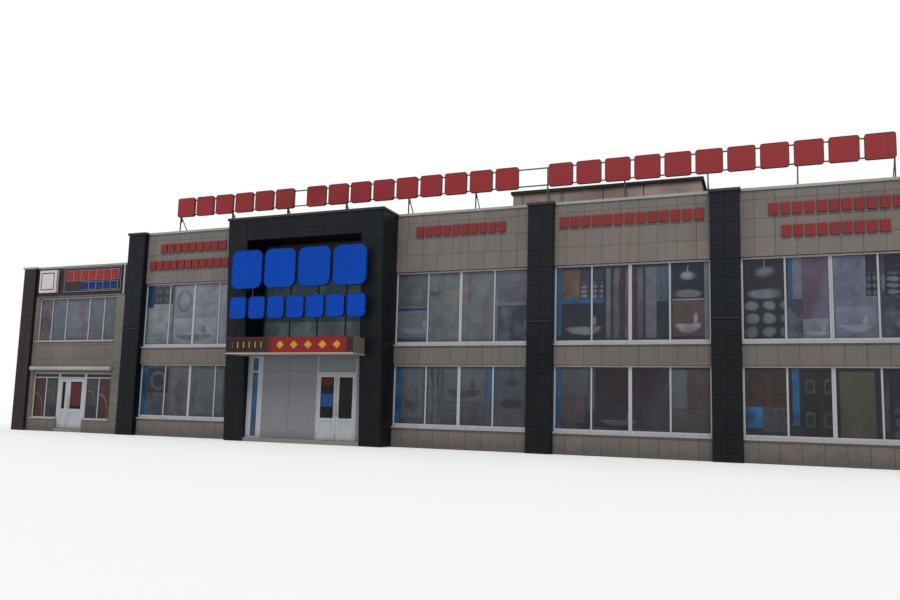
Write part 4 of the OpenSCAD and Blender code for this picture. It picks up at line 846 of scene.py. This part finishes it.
def film_pane(bm, layers, pane, window, layout):
    """Adds one glass unit, printed with its part of the window's layout."""
    print_uv, first, second, motif = layers
    low, high = pane
    verts = add_box(bm, low, high)
    start, end = window
    size = end - start
    fields = [(start.x + a * size.x, start.z + b * size.z, start.x + c * size.x, start.z + d * size.z, e, f, g)
              for a, b, c, d, e, f, g in LAYOUTS[layout]]
    cuts = [(Vector((1, 0, 0)), x) for field in fields for x in (field[0], field[2]) if low.x < x < high.x]
    cuts += [(Vector((0, 0, 1)), z) for field in fields for z in (field[1], field[3]) if low.z < z < high.z]
    island = set(verts)
    for normal, place in cuts:
        around = {g for v in island for g in (*v.link_edges, *v.link_faces)} | island
        done = bmesh.ops.bisect_plane(bm, geom=list(around), dist=WELD, plane_co=normal * place, plane_no=normal)
        island |= {g for g in done["geom_cut"] if isinstance(g, bmesh.types.BMVert)}
    for face in {f for v in island for f in v.link_faces}:
        middle = face.calc_center_median()
        left, foot, right, top, under, over, number = next(
            (f for f in reversed(fields) if f[0] <= middle.x <= f[2] and f[1] <= middle.z <= f[3]), fields[0])
        face[first] = colour(FILM_COLOURS[under])
        face[second] = colour(FILM_COLOURS[over])
        face[motif] = float(number)
        for loop in face.loops:
            loop[print_uv].uv = ((loop.vert.co.x - left) / (right - left), (loop.vert.co.z - foot) / (top - foot))


def film_piece(name, slot, node, panes):
    """A piece of glass units, each given by its box, the box of its window and its layout."""
    bm = bmesh.new()
    layers = (bm.loops.layers.uv.new("print"), bm.faces.layers.float_color.new("print_a"),
              bm.faces.layers.float_color.new("print_b"), bm.faces.layers.float.new("motif"))
    for pane, window, layout in panes:
        film_pane(bm, layers, pane, window, layout)
    piece(bm, name, slot, ["printed_film"], "house", (node,))


def outline(boxes):
    """Low and high corner round several boxes."""
    return (Vector([min(low[k] for low, high in boxes) for k in range(3)]),
            Vector([max(high[k] for low, high in boxes) for k in range(3)]))


def storeys(node):
    """The panes of a node on the ground storey and those on the upper storey."""
    panes = solids(node)
    return [p for p in panes if p[0].z <= UPPER_FROM], [p for p in panes if p[0].z > UPPER_FROM]


def build_films():
    """Printed panes of the main bays, the portal and the wing."""
    street = []
    for level, row in zip(("ground", "upper"), storeys("front_window_glass")):
        for number, bay in enumerate(("bay1", "bay3", "bay4", "bay5")):
            window = row[WINDOW_PANES * number:WINDOW_PANES * (number + 1)]
            street += [(pane, outline(window), f"{bay}_{level}") for pane in window]
    film_piece("street_window_films", "film_glass", "front_window_glass", street)
    side, upper = storeys("portal_glass")
    film_piece("portal_window_panes", "tinted_glass", "portal_glass",
               [(pane, outline(upper), "portal") for pane in upper])
    film_piece("entrance_side_films", "film_glass", "portal_glass", [(pane, pane, "side_light") for pane in side])
    shop, upper = storeys("wing_glass")
    wing = [(pane, outline(upper), "wing_upper") for pane in upper]
    start, end = outline(shop)
    for pane in shop:
        tall = pane[1].z - pane[0].z > 1.0
        outer = min(pane[0].x - start.x, end.x - pane[1].x) < 0.1
        wing.append((pane, pane, ("wing_outer" if outer else "wing_shop") if tall else "transom"))
    film_piece("wing_window_films", "film_glass", "wing_glass", wing)


# CAD nodes with rounded corners, by slot

FINISHED = {
    "white_frame": ("front_window_frames", "back_window_frames", "wing_window_frame", "wing_shop_frames",
                    "entrance_side_frame", "door_heads"),
    "dark_frame": ("portal_window_frame",), "white_trim": ("window_sills", "canopy_trim"),
    "white_panel": ("entrance_panels",), "canopy_panel": ("canopy",), "cap_metal": ("coping_runs",),
    "sign_steel": ("roof_sign_rails", "roof_sign_posts", "roof_sign_braces", "portal_sign_frame"),
    "dark_board": ("wing_sign_band",),
}


def build_frames():
    """Frames, sills, copings, canopy and sign steel; the copings of the pilasters are dark."""
    for slot, nodes in FINISHED.items():
        for node in nodes:
            softened(node, slot)
    softened("pilaster_ledges", "cap_metal", ["dark_cap_metal"])
    for node, slot in (("door_posts", "white_frame"), ("wing_shutter_box", "white_trim")):
        softened(node, slot, None, THIN_BEVEL, "house", SMOOTH_ANGLE, SMOOTH_ANGLE)
    heads = softened("coping_heads", "cap_metal", ["cap_metal", "dark_cap_metal"])
    for polygon in heads.data.polygons:
        polygon.material_index = 1 if polygon.center.z > PILASTER_TOP - 0.1 else 0


def build_leaves():
    """Door leaves with rounded corners; their glass and pulls keep the CAD shape."""
    for body in LEAVES:
        softened(body, "white_frame", None, THIN_BEVEL, body, SMOOTH_ANGLE, SMOOTH_ANGLE)


def sign_boxes(node, slot, face, side, bevel, front_only=False):
    """Sign boxes with a bright face and darker returns; the rim round a face belongs to the returns."""
    made = softened(node, slot, [face, side], bevel)
    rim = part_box(node)[0].y + 0.004
    for polygon in made.data.polygons:
        bright = polygon.normal.y < -FRONT and (front_only or polygon.center.y > rim)
        polygon.material_index = 0 if bright else 1


def build_signs():
    """Blank roof, portal and wall signs."""
    sign_boxes("roof_sign_boxes", "red_sign", "red_sign", "red_sign_return", 0.003)
    sign_boxes("portal_sign_blocks", "blue_sign", "blue_sign", "blue_sign_return", 0.003)
    sign_boxes("wall_sign_blocks", "red_sign", "red_wall_sign", "red_sign_return", 0.012, True)


def build_banner():
    """Banner board on the canopy, with metal eyelets along its edges."""
    low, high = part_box("canopy_banner")
    bm = bmesh.new()
    print_uv = bm.loops.layers.uv.new("print")
    add_box(bm, low, high)
    for face in bm.faces:
        for loop in face.loops:
            place = loop.vert.co
            loop[print_uv].uv = ((place.x - low.x) / (high.x - low.x), (place.z - low.z) / (high.z - low.z))
    piece(bm, "canopy_banner_board", "banner_print", replaced=("canopy_banner",))
    bm = bmesh.new()
    for k in range(EYELETS):
        x = low.x + EYELET_END + k * (high.x - low.x - 2 * EYELET_END) / (EYELETS - 1)
        for z in (low.z + 0.03, high.z - 0.03):
            add_rod(bm, (x, low.y, z), (x, low.y - 0.003, z), EYELET_RADIUS)
    piece(bm, "banner_eyelets", "pull_steel", ["zinc_bolt"])


def build_wing_sign():
    """White square box with a plain red frame, and a dark board with blank red and blue blocks in two rows."""
    square, board = solids("wing_sign_boxes")
    front = board[0].y
    inset = Vector((SQUARE_FRAME_INSET, 0.0, SQUARE_FRAME_INSET))
    box_piece("wing_square_box", "white_panel", [square], 0.02, ["white_box"], replaced=("wing_sign_boxes",))
    ring_piece("wing_square_frame", "red_sign", [(square[0] + inset, square[1] - inset, square[0].y - 0.004)],
               0.05, 0.006)
    box_piece("wing_board", "white_panel", [board], 0.006, ["dark_board"], replaced=("wing_sign_boxes",))
    ring_piece("wing_board_edge", "cap_metal", [(*board, front - 0.003)], 0.018, 0.006)
    rows = [("red", "red_sign", ["red_sign", "red_sign_return"], 7, 0.10, 0.12, 0.50, 0.95),
            ("blue", "blue_sign", ["navy_sign", "blue_sign_return"], 5, 1.05, 0.17, 0.08, 0.42)]
    for label, slot, materials, count, left, right, foot, top in rows:
        outlines, blocks = [], bmesh.new()
        start, end = board[0].x + left, board[1].x - right
        step = (end - start) / count
        z0, z1 = board[0].z + foot, board[0].z + top
        for k in range(count):
            x0, x1 = start + k * step + BLOCK_GAP, start + (k + 1) * step - BLOCK_GAP
            outlines.append(((x0 - BLOCK_RIM, front - 0.008, z0 - BLOCK_RIM), (x1 + BLOCK_RIM, front, z1 + BLOCK_RIM)))
            add_box(blocks, (x0, front - 0.034, z0), (x1, front - 0.006, z1), 1, 0.006)
        for face in blocks.faces:
            face.material_index = 0 if face.normal.y < -FRONT else 1
        box_piece(f"wing_{label}_outlines", "white_panel", outlines, 0.003, ["white_box"])
        piece(blocks, f"wing_{label}_blocks", slot, materials)
    low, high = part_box("wing_sign_band")
    strip = ((high.x - 0.33, low.y - 0.02, low.z), (high.x - 0.24, low.y, high.z - 0.05))
    box_piece("wing_band_strip", "white_trim", [strip], 0.004)


def build_seals():
    """Rubber seals round every pane."""
    glazed = [(node, "house") for node in ("front_window_glass", "portal_glass", "wing_glass", "back_window_glass")]
    for node, body in glazed + [(body + "_glass", body) for body in LEAVES]:
        at_back = node == "back_window_glass"
        rings = [(low, high, high.y if at_back else low.y - SEAL_DEPTH) for low, high in solids(node)]
        ring_piece(node + "_seals", "dark_frame", rings, SEAL_WIDTH, SEAL_DEPTH, ["rubber_seal"], body)


def build_door_fittings():
    """Lock plates with their cylinders, closers, thresholds and the three plain sheets on the glass."""
    for body, away in (("entrance_leaf_left", 1), ("entrance_leaf_right", -1), ("wing_leaf", -1)):
        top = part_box(body)[1].z
        pull_low, pull_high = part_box(body + "_pulls")
        pane_low, pane_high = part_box(body + "_glass")
        x = (pull_low.x + pull_high.x) / 2
        face_y = pane_low.y - LEAF_FACE_TO_GLASS
        back_y = face_y + LEAF_DEPTH
        bm = bmesh.new()
        add_box(bm, (x - LOCK_HALF_WIDTH, face_y - 0.003, LOCK_FOOT), (x + LOCK_HALF_WIDTH, face_y, LOCK_TOP),
                0, THIN_BEVEL)
        add_rod(bm, (x, face_y - 0.002, LOCK_MIDDLE), (x, face_y - 0.010, LOCK_MIDDLE), 0.011, 0, 16)
        middle = (pane_low.x if away > 0 else pane_high.x) + away * CLOSER_FROM_PANE_EDGE
        add_box(bm, (middle - CLOSER_HALF_LENGTH, back_y, top - 0.085),
                (middle + CLOSER_HALF_LENGTH, back_y + 0.045, top - 0.03), 0, 0.004)
        piece(bm, body + "_fittings", "pull_steel", ["zinc_bolt"], body)
    thresholds = []
    for left, right in (("entrance_leaf_left", "entrance_leaf_right"), ("wing_narrow_leaf", "wing_leaf")):
        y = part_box(left + "_glass")[0].y - LEAF_FACE_TO_GLASS
        low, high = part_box(left)[0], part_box(right)[1]
        floor_z = low.z - 0.010
        thresholds.append(((low.x, y - 0.01, floor_z), (high.x, y + 0.07, floor_z + 0.004)))
    box_piece("door_thresholds", "pull_steel", thresholds, THIN_BEVEL, ["zinc_bolt"])
    for body, number, colours, foot, top in (("entrance_leaf_left", 0, "red", 0.80, 0.98),
                                             ("entrance_leaf_left", 1, "blue", 0.28, 0.60),
                                             ("wing_leaf", 0, "red", 0.12, 0.95)):
        low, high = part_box(body + "_glass")
        tall = high.z - low.z
        sheet = ((low.x + SHEET_MARGIN, low.y - 0.002, low.z + foot * tall),
                 (high.x - SHEET_MARGIN, low.y, low.z + top * tall))
        box_piece(f"{body}_sheet_{number}", colours + "_sign", [sheet], 0.0, [colours + "_sheet"], body)


def add_bolts(bm, middle, way, off, radius=0.010):
    """Four bolt heads round a spot on a plate."""
    level = Vector((1, 0, 0))
    other = way.cross(level)
    for a in (-off, off):
        for b in (-off, off):
            foot = Vector(middle) + a * level + b * other
            add_rod(bm, foot, foot + way * BOLT_HEAD, radius, 0, 6)


def build_bolts():
    """Hexagon bolts on the foot plates of the roof sign and on the wall plates of the portal sign."""
    bm = bmesh.new()
    up, street = Vector((0, 0, 1)), Vector((0, -1, 0))
    for low, high in solids("roof_sign_posts"):
        add_bolts(bm, ((low.x + high.x) / 2, (low.y + high.y) / 2, low.z + PLATE), up, 0.055)
    for low, high in solids("roof_sign_braces"):
        add_bolts(bm, ((low.x + high.x) / 2, high.y - 0.075, low.z + PLATE), up, 0.055)
    frame_low, frame_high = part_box("portal_sign_frame")
    heights = sorted({(round(low.z, 3), round(high.z, 3)) for low, high in solids("portal_sign_blocks")})
    for low_z, high_z in heights:
        for share in (0.22, 0.78):
            z = low_z + share * (high_z - low_z)
            for x in (frame_low.x + 0.21, frame_high.x - 0.21):
                add_bolts(bm, (x, CLADDING_Y - portal_depth(z) - PLATE, z), street, 0.032, 0.007)
    piece(bm, "sign_bolts", "pull_steel", ["zinc_bolt"])


def build_coping_seams():
    """Straps over the joints between two lengths of coping."""
    straps = []
    for low, high in solids("coping_runs"):
        size = high - low
        along = 0 if size.x > size.y else 1
        past = 0.001 if along else -0.002
        count = max(1, round(size[along] / STRAP_SPACING))
        for k in range(1, count):
            place = low[along] + size[along] * k / count
            start, end = low.copy(), high.copy()
            start[along], end[along] = place - STRAP_WIDTH / 2, place + STRAP_WIDTH / 2
            start[1 - along] += past
            end[1 - along] -= past
            end.z += 0.002
            straps.append((start, end))
    box_piece("coping_straps", "cap_metal", straps, 0.0008)


def build_canopy_soffit():
    """Pale panels under the canopy with open joints."""
    low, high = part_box("canopy")
    start, end = low.x + SOFFIT_EDGE, high.x - SOFFIT_EDGE
    front, back = low.y + SOFFIT_EDGE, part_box("canopy_trim")[1].y - SOFFIT_EDGE
    step = (end - start) / SOFFIT_PANELS
    panels = [((start + k * step + 0.005, front, low.z + 0.017), (start + (k + 1) * step - 0.005, back, low.z + 0.024))
              for k in range(SOFFIT_PANELS)]
    box_piece("canopy_soffit_panels", "white_trim", panels, THIN_BEVEL)


def build_roof_membrane():
    """Strips of roofing felt with overlaps, and upstands at the foot of the parapets."""
    bm = bmesh.new()
    tone = bm.faces.layers.float.new("tone")
    edge = UPSTAND_THICKNESS
    for low, high in solids("roof_slabs"):
        count = round(high.x - low.x)
        step = (high.x - low.x) / count
        for k in range(count):
            left = low.x + k * step - (FELT_LAP if k else 0)
            right = low.x + (k + 1) * step + (FELT_LAP if k < count - 1 else 0)
            add_box(bm, (left, low.y, high.z), (right, high.y, high.z + FELT_THICKNESS[k % 2]))
            value = chance.random()
            for face in bm.faces[-6:]:
                face[tone] = value
        top = high.z + UPSTAND_HEIGHT
        for x in (low.x, high.x - edge):
            add_box(bm, (x, low.y, high.z), (x + edge, high.y, top))
        for y in (low.y, high.y - edge):
            add_box(bm, (low.x, y, high.z), (high.x, y + edge, top))
    piece(bm, "roof_membrane", "roofing")


def build_roof_room():
    """Low plastered room on the roof behind the sign, with wall sheets and a thin flat slab."""
    roof_z = max(high.z for low, high in solids("roof_slabs"))
    wall_top = cad_box[1].z - ROOM_BELOW_SIGN_TOP - ROOM_SLAB_THICKNESS
    right = ROOM_LEFT + sum(ROOM_SHEETS)
    back = ROOM_FACE_Y + ROOM_DEPTH
    bm = bmesh.new()
    tone = bm.faces.layers.float.new("tone")
    skin = ROOM_SHEET_THICKNESS
    core = [(ROOM_LEFT + skin, right - skin, ROOM_FACE_Y + skin, ROOM_FACE_Y + ROOM_WALL),
            (ROOM_LEFT + skin, right - skin, back - ROOM_WALL, back - skin),
            (ROOM_LEFT + skin, ROOM_LEFT + ROOM_WALL, ROOM_FACE_Y + ROOM_WALL, back - ROOM_WALL),
            (right - ROOM_WALL, right - skin, ROOM_FACE_Y + ROOM_WALL, back - ROOM_WALL)]
    for x0, x1, y0, y1 in core:
        add_box(bm, (x0, y0, roof_z), (x1, y1, wall_top), 1)
    gap = ROOM_SHEET_GAP / 2
    sheets = []
    x = ROOM_LEFT
    for width in ROOM_SHEETS:
        for y in (ROOM_FACE_Y, back - skin):
            sheets.append((x + (gap if x > ROOM_LEFT else 0), min(x + width, right) - (gap if x + width < right else 0),
                           y, y + skin))
        x += width
    count = 3
    step = (ROOM_DEPTH - 2 * skin) / count
    for k in range(count):
        y = ROOM_FACE_Y + skin + k * step
        for x in (ROOM_LEFT, right - skin):
            sheets.append((x, x + skin, y + (gap if k else 0), y + step - (gap if k < count - 1 else 0)))
    for x0, x1, y0, y1 in sheets:
        verts = add_box(bm, (x0, y0, roof_z), (x1, y1, wall_top))
        value = 0.25 if x0 <= ROOM_LEFT else chance.uniform(0.35, 0.75)
        for face in {f for v in verts for f in v.link_faces}:
            face[tone] = value
    piece(bm, "roof_room_walls", "plaster", ["roof_room_plaster", "joint_filler_and_underside_shade"])
    lap = ROOM_SLAB_LAP
    slab = ((ROOM_LEFT - lap, ROOM_FACE_Y - lap, wall_top), (right + lap, back + lap, wall_top + ROOM_SLAB_THICKNESS))
    box_piece("roof_room_slab", "concrete", [slab], 0.006, ["roof_room_slab"])


def build_entrance_details():
    """Screw heads of the blank entrance panels, and dark rubber strips in their joints that also stand in as painted
    shadow lines.
    """
    panels = solids("entrance_panels")
    bm = bmesh.new()
    for low, high in panels:
        wide = high.x - low.x
        if wide < 0.4:
            continue
        columns = [low.x + SCREW_FROM_SIDE, high.x - SCREW_FROM_SIDE]
        if wide > 2.0:
            middle = (low.x + high.x) / 2
            columns += [middle - SCREW_FROM_SIDE, middle + SCREW_FROM_SIDE]
        step = (high.z - low.z - 2 * SCREW_FROM_END) / (SCREW_ROWS - 1)
        for x in columns:
            for k in range(SCREW_ROWS):
                z = low.z + SCREW_FROM_END + k * step
                add_rod(bm, (x, low.y, z), (x, low.y - 0.002, z), 0.007, 0, 10)
    piece(bm, "panel_screws", "pull_steel", ["zinc_bolt"])
    low, high = max(panels, key=lambda s: s[1].x - s[0].x)
    lower_pane, upper_pane = storeys("portal_glass")[0]
    joint_z = (lower_pane[1].z + upper_pane[0].z) / 2
    joint_x = (low.x + high.x) / 2
    half = PANEL_JOINT / 2
    # Dark rubber strips in the two joints, which also stand in as painted shadow lines.
    joints = [((x0, low.y + 0.001, z0), (x1, low.y + PANEL_JOINT, z1)) for x0, x1, z0, z1 in
              ((low.x, high.x, joint_z - half, joint_z + half), (joint_x - half, joint_x + half, low.z, high.z))]
    box_piece("panel_joints", "dark_frame", joints, materials=["rubber_seal"])


def build_shutter_details():
    """End caps of the shutter box and the foot rail of the rolled-up shutter."""
    low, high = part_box("wing_shutter_box")
    bm = bmesh.new()
    for x in (low.x, high.x):
        add_box(bm, (x - 0.004, low.y + 0.004, low.z - 0.004), (x + 0.004, high.y, high.z - 0.006), 0, THIN_BEVEL)
    y = (low.y + high.y) / 2
    add_box(bm, (low.x + 0.05, y - 0.009, low.z - 0.012), (high.x - 0.05, y + 0.009, low.z + 0.02), 0, 0.002)
    piece(bm, "shutter_end_caps", "white_trim")


def paint_cad_nodes():
    """Materials of the CAD nodes that are shown as they are."""
    plain = {"ground_slabs": "concrete", "upper_floor_slabs": "concrete", "doorway_floors": "concrete",
             "roof_slabs": "roofing", "left_party_wall": "plaster", "middle_wall": "plaster",
             "back_window_glass": "window_glass"}
    for body in LEAVES:
        plain[body + "_glass"] = "door_glass"
        if body + "_pulls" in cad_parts:
            plain[body + "_pulls"] = "pull_steel"
    for node, material in plain.items():
        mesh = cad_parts[node].data
        mesh.materials.clear()
        mesh.materials.append(MATERIALS[material])


# Camera, light and floor

def build_camera():
    """The photograph's camera: its lens axis meets the picture off its middle, so the lens is shifted."""
    forward = Vector((math.sin(CAMERA_YAW) * math.cos(CAMERA_PITCH), math.cos(CAMERA_YAW) * math.cos(CAMERA_PITCH),
                      math.sin(CAMERA_PITCH)))
    level = Vector((math.cos(CAMERA_YAW), -math.sin(CAMERA_YAW), 0.0))
    upright = level.cross(forward)
    right = math.cos(CAMERA_ROLL) * level + math.sin(CAMERA_ROLL) * upright
    up = -math.sin(CAMERA_ROLL) * level + math.cos(CAMERA_ROLL) * upright
    data = bpy.data.cameras.new("camera")
    data.lens = SENSOR_MM * FOCAL_PIXELS / PHOTO_WIDTH
    data.sensor_width = SENSOR_MM
    data.shift_x = (PHOTO_WIDTH / 2 - AXIS_PIXEL_X) / PHOTO_WIDTH
    data.shift_y = (AXIS_PIXEL_Y - PHOTO_HEIGHT / 2) / PHOTO_WIDTH
    data.clip_end = 500.0
    camera = bpy.data.objects.new("camera", data)
    bpy.context.scene.collection.objects.link(camera)
    turn = Matrix((right, up, -forward)).transposed().to_4x4()
    camera.matrix_world = Matrix.Translation(CAMERA_SPOT) @ turn
    bpy.context.scene.camera = camera


def build_floor():
    """A plain pale floor."""
    material, _, shader = surface("studio_floor", 0.9)
    shader.inputs["Base Color"].default_value = (0.8, 0.8, 0.79, 1.0)
    bm = bmesh.new()
    bmesh.ops.create_circle(bm, cap_ends=True, segments=64, radius=220.0)
    mesh = bpy.data.meshes.new("studio_floor")
    bm.to_mesh(mesh)
    bm.free()
    mesh.materials.append(material)
    floor = bpy.data.objects.new("studio_floor", mesh)
    floor.location.z = -0.001
    bpy.context.scene.collection.objects.link(floor)


def build_light():
    """A soft sun from the street side and an even sky; the camera and reflections see plain white."""
    data = bpy.data.lights.new("soft_sun", "SUN")
    data.energy = 2.2
    data.angle = math.radians(28.0)
    sun = bpy.data.objects.new("soft_sun", data)
    sun.rotation_euler = (math.radians(34.0), 0.0, math.radians(10.0))
    bpy.context.scene.collection.objects.link(sun)
    world = bpy.data.worlds.new("studio")
    bpy.context.scene.world = world
    world.use_nodes = True
    tree = world.node_tree
    tree.nodes.clear()
    rays = tree.nodes.new("ShaderNodeLightPath")
    seen = maths(tree, "MAXIMUM", rays.outputs["Is Camera Ray"], rays.outputs["Is Glossy Ray"])
    seen = maths(tree, "MAXIMUM", seen, rays.outputs["Is Transmission Ray"])
    sky = put(tree, "Background", {"Color": (0.94, 0.97, 1.0, 1.0), "Strength": 0.62})
    backdrop = put(tree, "Background", {"Color": (1.0, 1.0, 1.0, 1.0), "Strength": 1.0})
    both = put(tree, "MixShader", {0: seen, 1: sky.outputs[0], 2: backdrop.outputs[0]})
    output = tree.nodes.new("ShaderNodeOutputWorld")
    tree.links.new(both.outputs[0], output.inputs[0])
    bpy.context.scene.view_settings.view_transform = "Standard"


build_camera()
build_cladding()
build_frames()
build_leaves()
build_signs()
build_banner()
build_wing_sign()
build_seals()
build_door_fittings()
build_bolts()
build_coping_seams()
build_canopy_soffit()
build_roof_membrane()
build_entrance_details()
build_shutter_details()
build_roof_room()
build_films()
paint_cad_nodes()
build_floor()
build_light()
